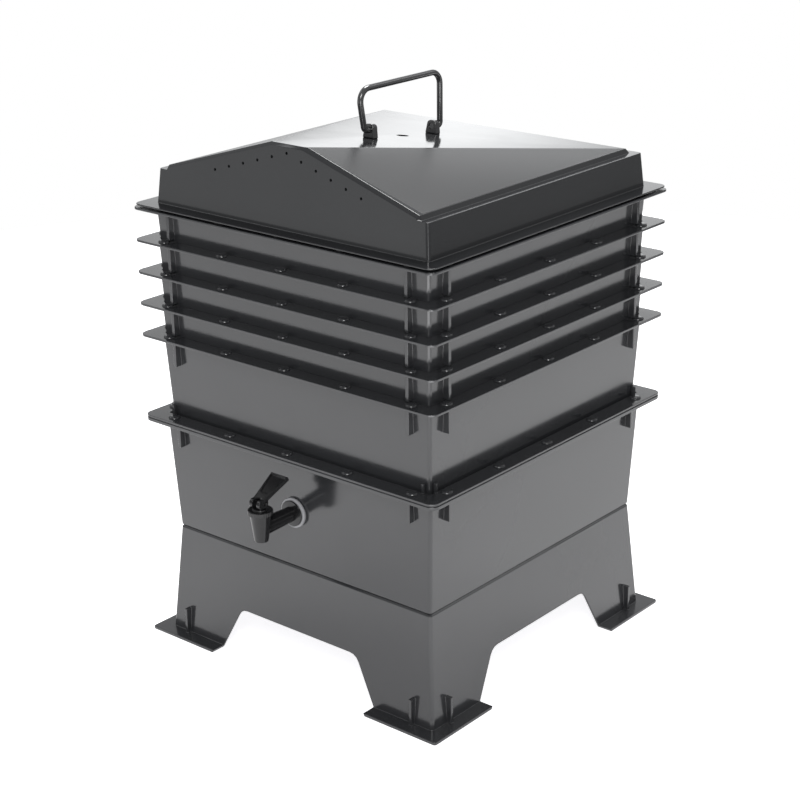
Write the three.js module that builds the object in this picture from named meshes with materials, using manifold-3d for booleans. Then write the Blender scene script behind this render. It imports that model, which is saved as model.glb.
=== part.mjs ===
// Stacked-tray worm composter: a footed stand, a drip sump with a lever tap, five nesting trays and
// a hipped lid with a wire bail. Millimetres, +Z up, the tap side faces -Y. The group is centred on
// its own footprint, with the floor at z = 0.
import * as THREE from 'three';
import { mergeVertices } from 'three/addons/utils/BufferGeometryUtils.js';
import Module from 'manifold-3d';

const wasm = await Module();
wasm.setup();

// The stack, from the floor up
const standHeight = 132;
const sumpDepth = 138.9;
const trayDepth = 102;
const trayPitch = 36.2;
const trayCount = 5;
const lidWallHeight = 38.2;

// Widths. Each half is half of a square that is centred on the stack, and all follow from the
// square of a tray's flange.
const flangeHalf = 210;
const trayFlangeReach = 18.7;
const sumpFlangeReach = 18.1;
const sumpTaper = 6.3;
const lidFlangeInset = 1.5;
const lidWallInset = 0.9;
const lidTaper = 3.4;
const footSpread = 3.2;
const footFlangeReach = 16.8;
const trayTopHalf = flangeHalf - trayFlangeReach;
const sumpTopHalf = flangeHalf - sumpFlangeReach;
const sumpBottomHalf = sumpTopHalf - sumpTaper;
const lidFlangeHalf = flangeHalf - lidFlangeInset;
const lidBottomHalf = trayTopHalf - lidWallInset;
const lidEaveHalf = lidBottomHalf - lidTaper;
const footFlangeHalf = flangeHalf + footSpread;
const footWallHalf = footFlangeHalf - footFlangeReach;

// Mouldings: walls, flanges and the radii of their corners
const standWall = 2.6;
const sumpWall = 2.2;
const trayWall = 1.4;
const lidWall = 2.2;
const flangeThickness = 2.5;
const wallCornerRadius = 4;
const flangeCornerRadius = 5;
const leastCornerRadius = 0.4;

// Clearances
const seatGap = 0.3;
const nestGap = 0.34;
const runningGap = 0.3;

// One overrun for every cut, one depth for every rib or nub that is fused into its own wall
const overrun = 6;
const fuseDepth = 0.6;

// Facets of round forms
const cornerSteps = 3;
const nubSides = 6;
const turnedSides = 16;
const smallSides = 8;
const quarterTurn = Math.PI / 2;

// Heights that follow from the stack
const sumpFloorZ = standHeight + seatGap;
const sumpTopZ = sumpFloorZ + sumpDepth;

// Turns a closed geometry into a solid, with its shared corners merged and its faces outward
function solid(geometry) {
  const bare = geometry.clone();
  bare.deleteAttribute('normal');
  bare.deleteAttribute('uv');
  const merged = mergeVertices(bare);
  const place = merged.getAttribute('position');
  const corners = [];
  let volume = 0;
  const a = new THREE.Vector3();
  const b = new THREE.Vector3();
  const c = new THREE.Vector3();
  for (let i = 0; i < merged.index.count; i += 3) {
    const [p, q, r] = [0, 1, 2].map((k) => merged.index.getX(i + k));
    if (p === q || q === r || r === p) continue;
    a.fromBufferAttribute(place, p);
    b.fromBufferAttribute(place, q);
    c.fromBufferAttribute(place, r);
    volume += a.dot(b.cross(c));
    corners.push(p, q, r);
  }
  if (volume < 0) corners.reverse();
  const mesh = new wasm.Mesh({
    numProp: 3,
    vertProperties: new Float32Array(place.array),
    triVerts: new Uint32Array(corners),
  });
  return new wasm.Manifold(mesh);
}

// Joins or cuts a list of solids, one after another
const join = (first, ...others) => others.flat().reduce((whole, piece) => whole.add(piece), first);
const cut = (first, ...others) => others.flat().reduce((whole, tool) => whole.subtract(tool), first);

// A named mesh of one solid in its own material
function piece(name, form, material) {
  const { vertProperties, triVerts } = form.getMesh();
  const geometry = new THREE.BufferGeometry();
  geometry.setAttribute('position', new THREE.BufferAttribute(vertProperties, 3));
  geometry.setIndex(new THREE.BufferAttribute(triVerts, 1));
  geometry.computeVertexNormals();
  const mesh = new THREE.Mesh(geometry, material);
  mesh.name = name;
  return mesh;
}

// A horizontal ring: a square with rounded corners, none sharper than a mould can make
function squareRing(half, wantedRadius, z) {
  const radius = Math.max(wantedRadius, leastCornerRadius);
  const ring = [];
  for (const [turn, sx, sy] of [[0, 1, 1], [1, -1, 1], [2, -1, -1], [3, 1, -1]]) {
    for (let i = 0; i <= cornerSteps; i++) {
      const angle = (turn + i / cornerSteps) * quarterTurn;
      const x = sx * (half - radius) + radius * Math.cos(angle);
      const y = sy * (half - radius) + radius * Math.sin(angle);
      ring.push(new THREE.Vector3(x, y, z));
    }
  }
  return ring;
}

// A closed loft through rings of the same count, from the lowest up
function loft(rings) {
  const count = rings[0].length;
  const index = [];
  for (let level = 0; level + 1 < rings.length; level++) {
    for (let i = 0; i < count; i++) {
      const low = level * count;
      const next = (i + 1) % count;
      index.push(low + i, low + next, low + count + next);
      index.push(low + i, low + count + next, low + count + i);
    }
  }
  const top = (rings.length - 1) * count;
  for (let i = 1; i + 1 < count; i++) {
    index.push(0, i + 1, i);
    index.push(top, top + i, top + i + 1);
  }
  const geometry = new THREE.BufferGeometry().setFromPoints(rings.flat());
  geometry.setIndex(index);
  return solid(geometry);
}

// A flat square plate with rounded corners
const plate = (half, radius, z, thickness) =>
  loft([squareRing(half, radius, z), squareRing(half, radius, z + thickness)]);

// A box from its lowest to its highest corner
function box(low, high) {
  const size = high.map((value, i) => value - low[i]);
  const geometry = new THREE.BoxGeometry(...size);
  geometry.translate(...low.map((value, i) => value + size[i] / 2));
  return solid(geometry);
}

// A turned form about the Z axis, from an outline of [radius, height] points
function turned(outline, sides = turnedSides) {
  const points = outline.map(([radius, height]) => new THREE.Vector2(radius, height));
  const geometry = new THREE.LatheGeometry(points, sides);
  return solid(geometry.rotateX(quarterTurn));
}

// A plain cylinder on the Z axis
const cylinder = (radius, low, high, sides = turnedSides) =>
  turned([[0, low], [radius, low], [radius, high], [0, high]], sides);

// Turns a form so that its +Z axis points out of the front face
const toFront = (form) => form.rotate([90, 0, 0]);

// A prism along Y from an outline in X and Z, chamfered at both ends
function prismAlongY(outline, yFront, yBack, chamfer) {
  const shape = new THREE.Shape(outline.map(([x, z]) => new THREE.Vector2(x, z)));
  const geometry = new THREE.ExtrudeGeometry(shape, {
    depth: yBack - yFront - 2 * chamfer,
    bevelEnabled: chamfer > 0,
    bevelThickness: chamfer,
    bevelSize: chamfer,
    bevelOffset: -chamfer,
    bevelSegments: 1,
  });
  geometry.rotateX(quarterTurn);
  geometry.translate(0, yBack - chamfer, 0);
  return solid(geometry);
}

// A prism along X from an outline in Y and Z
function prismAlongX(outline, xLow, xHigh) {
  const shape = new THREE.Shape(outline.map(([y, z]) => new THREE.Vector2(y, z)));
  const geometry = new THREE.ExtrudeGeometry(shape, { depth: xHigh - xLow, bevelEnabled: false });
  const turn = new THREE.Matrix4().makeBasis(
    new THREE.Vector3(0, 1, 0),
    new THREE.Vector3(0, 0, 1),
    new THREE.Vector3(1, 0, 0),
  );
  geometry.applyMatrix4(turn);
  geometry.translate(xLow, 0, 0);
  return solid(geometry);
}

// Copies a form made at the front face to all four sides
const onFourSides = (form) => [0, 90, 180, 270].map((degrees) => form.rotate([0, 0, degrees]));

// Hanging fins under a flange, a pair at every corner, one on each wall
const finThickness = 7;
const finInset = 5.5;
const finFromEdge = 39.5;
const finRoot = 8;
const finReach = flangeHalf - finInset;
const finPlace = flangeHalf - finFromEdge;

function fins(wallHalf, place, zLow, zHigh) {
  const pair = [-place, place].map((x) =>
    box([x - finThickness / 2, -finReach, zLow], [x + finThickness / 2, finRoot - wallHalf, zHigh]));
  return pair.flatMap(onFourSides);
}

// Nubs on top of a flange, five on each side, which the fins of the tray above rest on
const nubHeight = 3;
const nubRadius = 4;
const nubInset = 12;
const nubsPerSide = 5;

function nubs(flangeTopZ) {
  const form = cylinder(nubRadius, flangeTopZ - fuseDepth, flangeTopZ + nubHeight, nubSides);
  const row = [];
  for (let i = 0; i < nubsPerSide; i++) {
    const x = finPlace * (2 * i / (nubsPerSide - 1) - 1);
    row.push(form.translate([x, nubInset - flangeHalf, 0]));
  }
  return row.flatMap(onFourSides);
}

// Tray: a thin drafted box with a perforated floor. Its draft is what lets it nest one pitch deep.
const trayDraft = (trayWall + nestGap) / trayPitch;
const trayFloor = 3;
const trayFoot = 1.5;
const holeRadius = 4.6;
const holeSides = 4;
const holesPerRow = 6;
const holeMargin = 28;

const trayHalfAt = (drop) => trayTopHalf - trayDraft * Math.max(drop - flangeThickness, 0);

function trayForm() {
  const radius = wallCornerRadius;
  const bottomHalf = trayHalfAt(trayDepth);
  const outer = loft([
    squareRing(bottomHalf - trayFoot, radius - trayFoot, -trayDepth),
    squareRing(trayHalfAt(trayDepth - trayFoot), radius, trayFoot - trayDepth),
    squareRing(trayTopHalf, radius, -flangeThickness),
    squareRing(trayTopHalf, radius, 0),
  ]);
  const floorZ = trayFloor - trayDepth;
  const inside = (drop) => trayHalfAt(drop) - trayWall;
  const inner = loft([
    squareRing(inside(-floorZ) - trayFoot, radius - trayFoot, floorZ),
    squareRing(inside(-floorZ - trayFoot), radius - trayWall, floorZ + trayFoot),
    squareRing(inside(flangeThickness), radius - trayWall, -flangeThickness),
    squareRing(inside(0), radius - trayWall, overrun),
  ]);
  const flange = plate(flangeHalf, flangeCornerRadius, -flangeThickness, flangeThickness);
  const finLow = nubHeight + seatGap - trayPitch;
  const shell = join(outer, flange, fins(trayTopHalf, finPlace, finLow, -fuseDepth));
  const holes = [];
  const spread = bottomHalf - holeMargin;
  const hole = cylinder(holeRadius, -trayDepth - overrun, floorZ + overrun, holeSides).rotate([0, 0, 45]);
  for (let i = 0; i < holesPerRow; i++) {
    for (let j = 0; j < holesPerRow; j++) {
      const [x, y] = [i, j].map((k) => spread * (2 * k / (holesPerRow - 1) - 1));
      holes.push(hole.translate([x, y, 0]));
    }
  }
  return cut(join(cut(shell, inner), nubs(0)), holes);
}

// Tap: where it sits on the front wall of the sump, and the bores that other pieces pass through
const tapZ = 200;
const tapStandOut = 52;
const shankRadius = 9;
const shankGap = 0.4;
const washerRadius = 17.2;
const padRim = 0.8;
const padStep = 1.2;

// Sump: a deep drafted tub with a lipped flange, ledge ribs inside and guide lugs at its corners
const sumpFloor = 3;
const sumpFoot = 1.4;
const sumpLip = 4.5;
const lipThickness = 2;
const sumpFinDrop = 30;
const ledgeDrop = 7;
const ledgeHeight = 60;
const ledgeThickness = 5;
const ledgeBearing = 5;
const ledgeFromCorner = 51.9;
const lugHeight = 10;
const lugWidth = 3.5;
const lugInset = 11;
const lugGap = 0.8;

const trayFlangeZ = (level) => sumpTopZ - ledgeDrop + seatGap + trayDepth + level * trayPitch;
const sumpHalfAt = (z) =>
  sumpBottomHalf + (sumpTopHalf - sumpBottomHalf) * (z - sumpFloorZ) / (sumpDepth - flangeThickness);
const padRadius = washerRadius + padRim;
const padFace = sumpHalfAt(tapZ) + padStep;
const tapReach = padFace + tapStandOut;
const innerPadFace = sumpHalfAt(tapZ) - sumpWall - padStep;

function ledgeRib(x) {
  const top = sumpTopZ - ledgeDrop;
  const reach = trayHalfAt(trayDepth) - trayFoot - ledgeBearing;
  const wall = -sumpHalfAt(top) + sumpWall / 2;
  const foot = -sumpHalfAt(top - ledgeHeight) + sumpWall / 2;
  return prismAlongX([[wall, top], [foot, top - ledgeHeight], [-reach, top]],
    x - ledgeThickness / 2, x + ledgeThickness / 2);
}

function guideLug(side) {
  const inner = -trayHalfAt(trayFlangeZ(0) - sumpTopZ - lugHeight) - lugGap;
  const x = side * (sumpTopHalf - lugInset);
  return box([x - lugWidth / 2, -sumpTopHalf, sumpTopZ - flangeThickness],
    [x + lugWidth / 2, inner, sumpTopZ + lugHeight]);
}

function sumpForm() {
  const radius = wallCornerRadius;
  const topZ = sumpTopZ;
  const outer = loft([
    squareRing(sumpBottomHalf - sumpFoot, radius - sumpFoot, sumpFloorZ),
    squareRing(sumpHalfAt(sumpFloorZ + sumpFoot), radius, sumpFloorZ + sumpFoot),
    squareRing(sumpTopHalf, radius, topZ - flangeThickness),
    squareRing(sumpTopHalf, radius, topZ),
  ]);
  const floorZ = sumpFloorZ + sumpFloor;
  const inner = loft([
    squareRing(sumpHalfAt(floorZ) - sumpWall - sumpFoot, radius - sumpWall - sumpFoot, floorZ),
    squareRing(sumpHalfAt(floorZ + sumpFoot) - sumpWall, radius - sumpWall, floorZ + sumpFoot),
    squareRing(sumpTopHalf - sumpWall, radius - sumpWall, topZ - flangeThickness),
    squareRing(sumpTopHalf - sumpWall, radius - sumpWall, topZ + overrun),
  ]);
  const lip = cut(
    plate(flangeHalf, flangeCornerRadius, topZ - sumpLip, sumpLip),
    plate(flangeHalf - lipThickness, flangeCornerRadius - lipThickness,
      topZ - sumpLip - overrun, sumpLip + overrun - flangeThickness),
  );
  const pad = toFront(cylinder(padRadius, 0, padFace)).translate([0, 0, tapZ]);
  const innerPad = toFront(cylinder(padRadius, innerPadFace, sumpHalfAt(tapZ) - sumpWall / 2))
    .translate([0, 0, tapZ]);
  const hanging = fins(sumpTopHalf, finPlace, topZ - sumpFinDrop, topZ - fuseDepth);
  const shell = cut(join(outer, lip, hanging, pad), inner);
  const ribs = [-1, 1].map((side) => ledgeRib(side * (sumpTopHalf - ledgeFromCorner)))
    .flatMap(onFourSides);
  const lugs = [-1, 1].map(guideLug).flatMap(onFourSides);
  const tapHole = toFront(cylinder(shankRadius + shankGap, innerPadFace - overrun,
    flangeHalf)).translate([0, 0, tapZ]);
  return cut(join(shell, innerPad, ribs, lugs, nubs(topZ)), tapHole);
}

// Stand: a splayed skirt with a deck on top, an arch in each wall and four L-shaped foot flanges
const deckThickness = 2.6;
const deckRing = 67.6;
const deckOpeningRadius = 24;
const footThickness = 3.5;
const footLength = 97.8;
const archSlant = 29.4;
const archHeight = 56;
const archRadius = 9;
const standEdge = 2;
const footFinFromEdge = 39.2;
const footFinHeight = 38;
const footFinInset = 4.2;

function archOutline() {
  const footHalf = footFlangeHalf - footLength;
  const low = new THREE.Vector2(footHalf + archSlant * overrun / archHeight, -overrun);
  const corner = new THREE.Vector2(footHalf - archSlant, archHeight);
  const onWall = corner.clone().lerp(low, archRadius / corner.distanceTo(low));
  const shape = new THREE.Shape();
  shape.moveTo(-low.x, low.y);
  shape.lineTo(low.x, low.y);
  shape.lineTo(onWall.x, onWall.y);
  shape.quadraticCurveTo(corner.x, corner.y, corner.x - archRadius, corner.y);
  shape.lineTo(archRadius - corner.x, corner.y);
  shape.quadraticCurveTo(-corner.x, corner.y, -onWall.x, onWall.y);
  return shape.getPoints(cornerSteps).map((point) => [point.x, point.y]);
}

function standForm() {
  const radius = wallCornerRadius;
  const lean = (footWallHalf - sumpBottomHalf) / standHeight;
  const outer = loft([
    squareRing(footWallHalf, radius, 0),
    squareRing(sumpBottomHalf + lean * standEdge, radius, standHeight - standEdge),
    squareRing(sumpBottomHalf - standEdge, radius - standEdge, standHeight),
  ]);
  const inner = loft([
    squareRing(footWallHalf - standWall + lean * overrun, radius - standWall, -overrun),
    squareRing(sumpBottomHalf - standWall + lean * deckThickness, radius - standWall,
      standHeight - deckThickness),
  ]);
  const foot = plate(footFlangeHalf, flangeCornerRadius, 0, footThickness);
  const standing = [-1, 1].map((side) => side * (footFlangeHalf - footFinFromEdge)).map((x) =>
    box([x - finThickness / 2, footFinInset - footFlangeHalf, fuseDepth],
      [x + finThickness / 2, finRoot - footWallHalf, footFinHeight]));
  const opening = plate(sumpBottomHalf - deckRing, deckOpeningRadius,
    standHeight - deckThickness - overrun, deckThickness + 2 * overrun);
  const arch = prismAlongY(archOutline(), -footFlangeHalf - overrun, footFlangeHalf + overrun, 0);
  const skirt = join(outer, foot, standing.flatMap(onFourSides));
  return cut(skirt, inner, opening, arch, arch.rotate([0, 0, 90]));
}

// Lid: a low drafted cover. Its roof is a raised panel with a gable over the front wall, two side
// slopes and one long back slope, which meet in two hips.
const lidFlangeThickness = 1.6;
const lidSkirtDepth = 6;
const lidSkirtGap = 0.7;
const lidSkirtWall = 1.8;
const roofLedge = 10;
const roofStep = 5;
const roofStepSlant = 3;
const gableRise = 53;
const gablePeakHalf = 22;
const roofChamfer = 5;
const ventCount = 11;
const ventPitch = 21;
const ventRadius = 1.6;
const ventDrop = 18;
const centreHoleRadius = 5.5;

const lidFlangeZ = trayFlangeZ(trayCount - 1) + nubHeight + seatGap;
const eaveZ = lidFlangeZ + lidWallHeight;
const roofFootHalf = lidEaveHalf - roofLedge;
const roofEdgeHalf = roofFootHalf - roofStepSlant;
const sideSlope = (gableRise - roofStep) / (roofEdgeHalf - gablePeakHalf);
const backSlope = (gableRise - roofStep) / (roofEdgeHalf + lidEaveHalf);
const sideRoofZ = (x) => eaveZ + roofStep + sideSlope * (roofEdgeHalf - Math.abs(x));
const backRoofZ = (y) => eaveZ + roofStep + backSlope * (roofEdgeHalf - y);

// The raised roof panel, or with an inset the hollow under it
function roofForm(inset, lowZ) {
  const drop = inset * Math.hypot(1, sideSlope);
  const gable = [
    [-roofFootHalf + inset, lowZ],
    [roofFootHalf - inset, lowZ],
    [roofFootHalf - inset, eaveZ - inset],
    [roofEdgeHalf - inset, eaveZ + roofStep - drop],
    [gablePeakHalf, eaveZ + gableRise - drop],
    [-gablePeakHalf, eaveZ + gableRise - drop],
    [inset - roofEdgeHalf, eaveZ + roofStep - drop],
    [inset - roofFootHalf, eaveZ - inset],
  ];
  const front = inset - lidEaveHalf;
  const back = roofFootHalf - inset;
  const slope = [
    [front - overrun, lowZ - overrun],
    [back, lowZ - overrun],
    [back, eaveZ - inset],
    [roofEdgeHalf - inset, eaveZ + roofStep - drop],
    [front - overrun, backRoofZ(front - overrun) - drop],
  ];
  const body = prismAlongY(gable, front, back + overrun, roofChamfer);
  return body.intersect(prismAlongX(slope, -lidEaveHalf, lidEaveHalf));
}

function ventHoles() {
  const row = [];
  for (let i = 0; i < ventCount; i++) {
    const x = ventPitch * (i - (ventCount - 1) / 2);
    const tool = toFront(cylinder(ventRadius, lidEaveHalf - lidWall - overrun,
      lidEaveHalf + overrun, smallSides));
    row.push(tool.translate([x, 0, sideRoofZ(x) - ventDrop]));
  }
  return row;
}

function lidForm(screwHoles) {
  const radius = wallCornerRadius;
  const walls = loft([
    squareRing(lidBottomHalf, radius, lidFlangeZ),
    squareRing(lidEaveHalf, radius, eaveZ),
  ]);
  const hollow = loft([
    squareRing(lidBottomHalf - lidWall, radius - lidWall, lidFlangeZ - overrun),
    squareRing(lidBottomHalf - lidWall, radius - lidWall, lidFlangeZ),
    squareRing(lidEaveHalf - lidWall, radius - lidWall, eaveZ - lidWall),
  ]);
  const mouthHalf = trayTopHalf - trayWall - lidSkirtGap;
  const skirt = plate(mouthHalf, radius - trayWall, lidFlangeZ - lidSkirtDepth,
    lidSkirtDepth + lidFlangeThickness);
  const skirtHollow = plate(mouthHalf - lidSkirtWall, radius - trayWall - lidSkirtWall,
    lidFlangeZ - lidSkirtDepth - overrun, lidSkirtDepth + overrun + lidFlangeThickness);
  const flange = plate(lidFlangeHalf, flangeCornerRadius, lidFlangeZ, lidFlangeThickness);
  const roof = roofForm(0, lidFlangeZ + lidFlangeThickness);
  const roofHollow = roofForm(lidWall, lidFlangeZ + lidFlangeThickness);
  const centreHole = cylinder(centreHoleRadius, eaveZ, eaveZ + gableRise);
  const shell = cut(join(walls, flange, skirt, roof), hollow, skirtHollow, roofHollow);
  return cut(shell, ventHoles(), centreHole, screwHoles);
}

// Bail and its ears on the back slope. Everything here is laid out on the slope: u runs down the
// slope from the middle of the lid, w stands square off it.
const earFrontPlace = 56.5;
const earBackPlace = 52.5;
const earLength = 10;
const earHalfWidth = 7.5;
const earHeight = 14;
const pivotHeight = 7.6;
const wireRadius = 3;
const wireHoleGap = 0.35;
const wireSides = 8;
const wireSteps = 48;
const bailFrontReach = 10;
const bailBackReach = 12;
const bailTopZ = 88;
const bailBend = 13;
const tipBend = 5;
const tipBack = 1;

const slopeAngle = Math.atan(backSlope);
const slopeDegrees = THREE.MathUtils.radToDeg(slopeAngle);
const onSlope = (u, w) => new THREE.Vector3(
  0,
  u * Math.cos(slopeAngle) + w * Math.sin(slopeAngle),
  backRoofZ(0) - u * Math.sin(slopeAngle) + w * Math.cos(slopeAngle),
);
const placeOnSlope = (form) => form.rotate([-slopeDegrees, 0, 0]).translate([0, 0, backRoofZ(0)]);

// Screws that hold each ear from inside the lid
const screwPlace = 5.2;
const screwRadius = 1.2;
const screwHoleRadius = 1.5;
const screwHeadRadius = 2.6;
const screwHeadHeight = 2;
const screwBite = 9;

function earForm(u) {
  const shape = new THREE.Shape();
  const crown = earHeight - earHalfWidth;
  shape.moveTo(-earHalfWidth, seatGap);
  shape.lineTo(earHalfWidth, seatGap);
  shape.lineTo(earHalfWidth, crown);
  shape.absarc(0, crown, earHalfWidth, 0, Math.PI, false);
  const outline = shape.getPoints(smallSides).map((point) => [point.x, point.y]);
  const block = prismAlongY(outline.slice(0, -1), u - earLength / 2, u + earLength / 2, 0);
  const bore = toFront(cylinder(wireRadius + wireHoleGap, -u - earLength, -u + earLength, turnedSides))
    .translate([0, 0, pivotHeight]);
  const screwBores = [-screwPlace, screwPlace].map((x) =>
    cylinder(screwHoleRadius, -overrun, screwBite + runningGap, smallSides).translate([x, u, 0]));
  return placeOnSlope(cut(block, bore, screwBores));
}

function screwForm(x, u) {
  const under = -lidWall - seatGap;
  const outline = [
    [0, under - screwHeadHeight],
    [screwHeadRadius, under - screwHeadHeight],
    [screwHeadRadius, under],
    [screwRadius, under],
    [screwRadius, screwBite],
    [0, screwBite],
  ];
  return placeOnSlope(turned(outline, smallSides).translate([x, u, 0]));
}

const screwSpots = [-earFrontPlace, earBackPlace].flatMap((u) => [-screwPlace, screwPlace].map((x) => [x, u]));
const screwHoles = screwSpots.map(([x, u]) => placeOnSlope(
  cylinder(screwHoleRadius, -overrun, overrun, smallSides).translate([x, u, 0])));

// A wire path of straight runs joined by bends, each with its own radius
function bentPath(corners, radii) {
  const path = new THREE.CurvePath();
  const bendShare = 0.5523;
  let from = corners[0];
  for (let i = 1; i + 1 < corners.length; i++) {
    const towardLast = corners[i - 1].clone().sub(corners[i]).normalize();
    const towardNext = corners[i + 1].clone().sub(corners[i]).normalize();
    const trim = radii[i - 1] / Math.tan(towardLast.angleTo(towardNext) / 2);
    const start = corners[i].clone().addScaledVector(towardLast, trim);
    const end = corners[i].clone().addScaledVector(towardNext, trim);
    const startPull = start.clone().addScaledVector(towardLast, -trim * bendShare);
    const endPull = end.clone().addScaledVector(towardNext, -trim * bendShare);
    path.add(new THREE.LineCurve3(from, start));
    path.add(new THREE.CubicBezierCurve3(start, startPull, endPull, end));
    from = end;
  }
  path.add(new THREE.LineCurve3(from, corners[corners.length - 1]));
  return path;
}

function bailForm() {
  const legFoot = (y) => {
    const u = (y - pivotHeight * Math.sin(slopeAngle)) / Math.cos(slopeAngle);
    return onSlope(u, pivotHeight);
  };
  const tip = earLength / 2 - tipBack;
  const front = -earFrontPlace - bailFrontReach;
  const back = earBackPlace + bailBackReach;
  const corners = [
    onSlope(tip - earFrontPlace, pivotHeight),
    legFoot(front),
    new THREE.Vector3(0, front, eaveZ + bailTopZ),
    new THREE.Vector3(0, back, eaveZ + bailTopZ),
    legFoot(back),
    onSlope(earBackPlace - tip, pivotHeight),
  ];
  const path = bentPath(corners, [tipBend, bailBend, bailBend, tipBend]);
  const section = new THREE.Shape();
  section.absarc(0, 0, wireRadius, 0, 2 * Math.PI, false);
  const ring = section.getSpacedPoints(wireSides).slice(0, -1);
  const options = { extrudePath: path, steps: wireSteps, bevelEnabled: false };
  return solid(new THREE.ExtrudeGeometry(new THREE.Shape(ring), options));
}

// Tap body: a shank through the sump wall, a ribbed barrel and an upright valve chamber
const washerThickness = 4.6;
const innerWasherThickness = 3;
const innerWasherRadius = 15;
const nutThickness = 7;
const nutRadius = 15.5;
const nutSides = 6;
const shankTail = 4;
const threadDepth = 0.8;
const threadPitch = 3.2;
const waterwayRadius = 5;
const barrelRadius = 9.2;
const barrelRibs = 8;
const barrelRibHeight = 1.5;
const barrelRibWidth = 2.2;
const chamberRadius = 11.4;
const chamberTop = 15.8;
const spoutLength = 15;
const spoutRadius = 7.5;
const spoutBore = 4.6;
const chamberBore = 8.4;
const seatZ = -4;
const spigotHeight = 3;

// Bonnet, stem and lever
const collarRadius = 13.7;
const collarHeight = 5.4;
const bonnetTop = 23.4;
const bonnetNeckRadius = 8.6;
const bonnetWall = 2;
const stemRadius = 2.4;
const stemHeadHalf = 2.6;
const pinRadius = 1.5;
const pinHoleGap = 0.1;
const cheekRadius = 5.4;
const camOffset = 4;
const leverHalfWidth = 7.5;
const leverTipHalf = 12.2;
const leverLength = 38;
const leverThickness = 3.2;
const leverRim = 1.6;
const leverRimWidth = 2;
const leverRaiseDegrees = 27;
const seatCupRadius = 7.2;
const seatCupHeight = 6;

// Heights on the tap are measured from the middle of its shank
const atChamber = (form) => form.translate([0, -tapReach, tapZ]);
const pinHeight = bonnetTop + seatGap + cheekRadius;
const pinHoleRadius = (pinRadius + pinHoleGap) / Math.cos(Math.PI / smallSides);

function tapBodyForm() {
  const start = padFace + washerThickness + 2 * seatGap;
  const stop = innerPadFace - innerWasherThickness - nutThickness - 2 * seatGap - shankTail;
  const outline = [[0, stop], [shankRadius - threadDepth, stop]];
  for (let y = stop + threadPitch / 2; y + threadPitch < padFace; y += threadPitch) {
    outline.push([shankRadius, y], [shankRadius - threadDepth, y + threadPitch / 2]);
  }
  outline.push([shankRadius - threadDepth, start], [barrelRadius, start],
    [barrelRadius, tapReach], [0, tapReach]);
  const barrel = toFront(turned(outline)).translate([0, 0, tapZ]);
  const ribs = [];
  for (let i = 0; i < barrelRibs; i++) {
    const rib = box([-barrelRibWidth / 2, -tapReach, barrelRadius - fuseDepth],
      [barrelRibWidth / 2, -start, barrelRadius + barrelRibHeight]);
    ribs.push(rib.rotate([0, i * 360 / barrelRibs, 0]).translate([0, 0, tapZ]));
  }
  const chamber = atChamber(turned([
    [0, -spoutLength],
    [spoutRadius, -spoutLength],
    [chamberRadius, chamberTop],
    [0, chamberTop],
  ]));
  const well = atChamber(turned([
    [0, -spoutLength - overrun],
    [spoutBore, -spoutLength - overrun],
    [spoutBore, seatZ],
    [chamberBore, seatZ + spigotHeight],
    [chamberBore, chamberTop + overrun],
    [0, chamberTop + overrun],
  ]));
  const waterway = toFront(cylinder(waterwayRadius, stop - overrun, tapReach)).translate([0, 0, tapZ]);
  return cut(join(barrel, ribs, chamber), well, waterway);
}

function ringForm(outerRadius, innerRadius, near, far, sides) {
  const ring = cut(
    cylinder(outerRadius, near, far, sides),
    cylinder(innerRadius, near - overrun, far + overrun),
  );
  return toFront(ring).translate([0, 0, tapZ]);
}

function bonnetForm() {
  const base = chamberTop + seatGap;
  const cap = turned([
    [0, base],
    [collarRadius, base],
    [collarRadius, base + collarHeight],
    [bonnetNeckRadius, base + collarHeight],
    [bonnetNeckRadius, bonnetTop],
    [0, bonnetTop],
  ]);
  const spigot = cylinder(chamberBore - runningGap, base - spigotHeight, base + fuseDepth);
  const hollow = cylinder(chamberBore - runningGap - bonnetWall, base - spigotHeight - overrun,
    bonnetTop - bonnetWall);
  const guide = cylinder(stemRadius + runningGap, base, bonnetTop + overrun, smallSides);
  return atChamber(cut(join(cap, spigot), hollow, guide));
}

function stemForm() {
  const low = seatZ + spigotHeight + seatCupHeight / 2;
  const rod = cylinder(stemRadius, low, pinHeight, smallSides);
  const head = box([-stemHeadHalf, -stemRadius, pinHeight - cheekRadius],
    [stemHeadHalf, stemRadius, pinHeight + cheekRadius / 2]);
  const pinHole = cylinder(pinHoleRadius, -leverHalfWidth, leverHalfWidth, smallSides)
    .rotate([0, 90, 0]).translate([0, 0, pinHeight]);
  return atChamber(cut(join(rod, head), pinHole));
}

function seatForm() {
  const low = seatZ + spigotHeight + seatGap;
  const cup = turned([
    [0, low - spigotHeight / 2],
    [spoutBore, low - spigotHeight / 2],
    [seatCupRadius, low],
    [seatCupRadius, low + seatCupHeight],
    [stemRadius + stemHeadHalf, low + seatCupHeight],
    [0, low + seatCupHeight],
  ]);
  const socket = cylinder(stemRadius + runningGap, low + seatCupHeight / 2 - 2 * seatGap,
    low + seatCupHeight + overrun, smallSides);
  return atChamber(cut(cup, socket));
}

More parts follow.
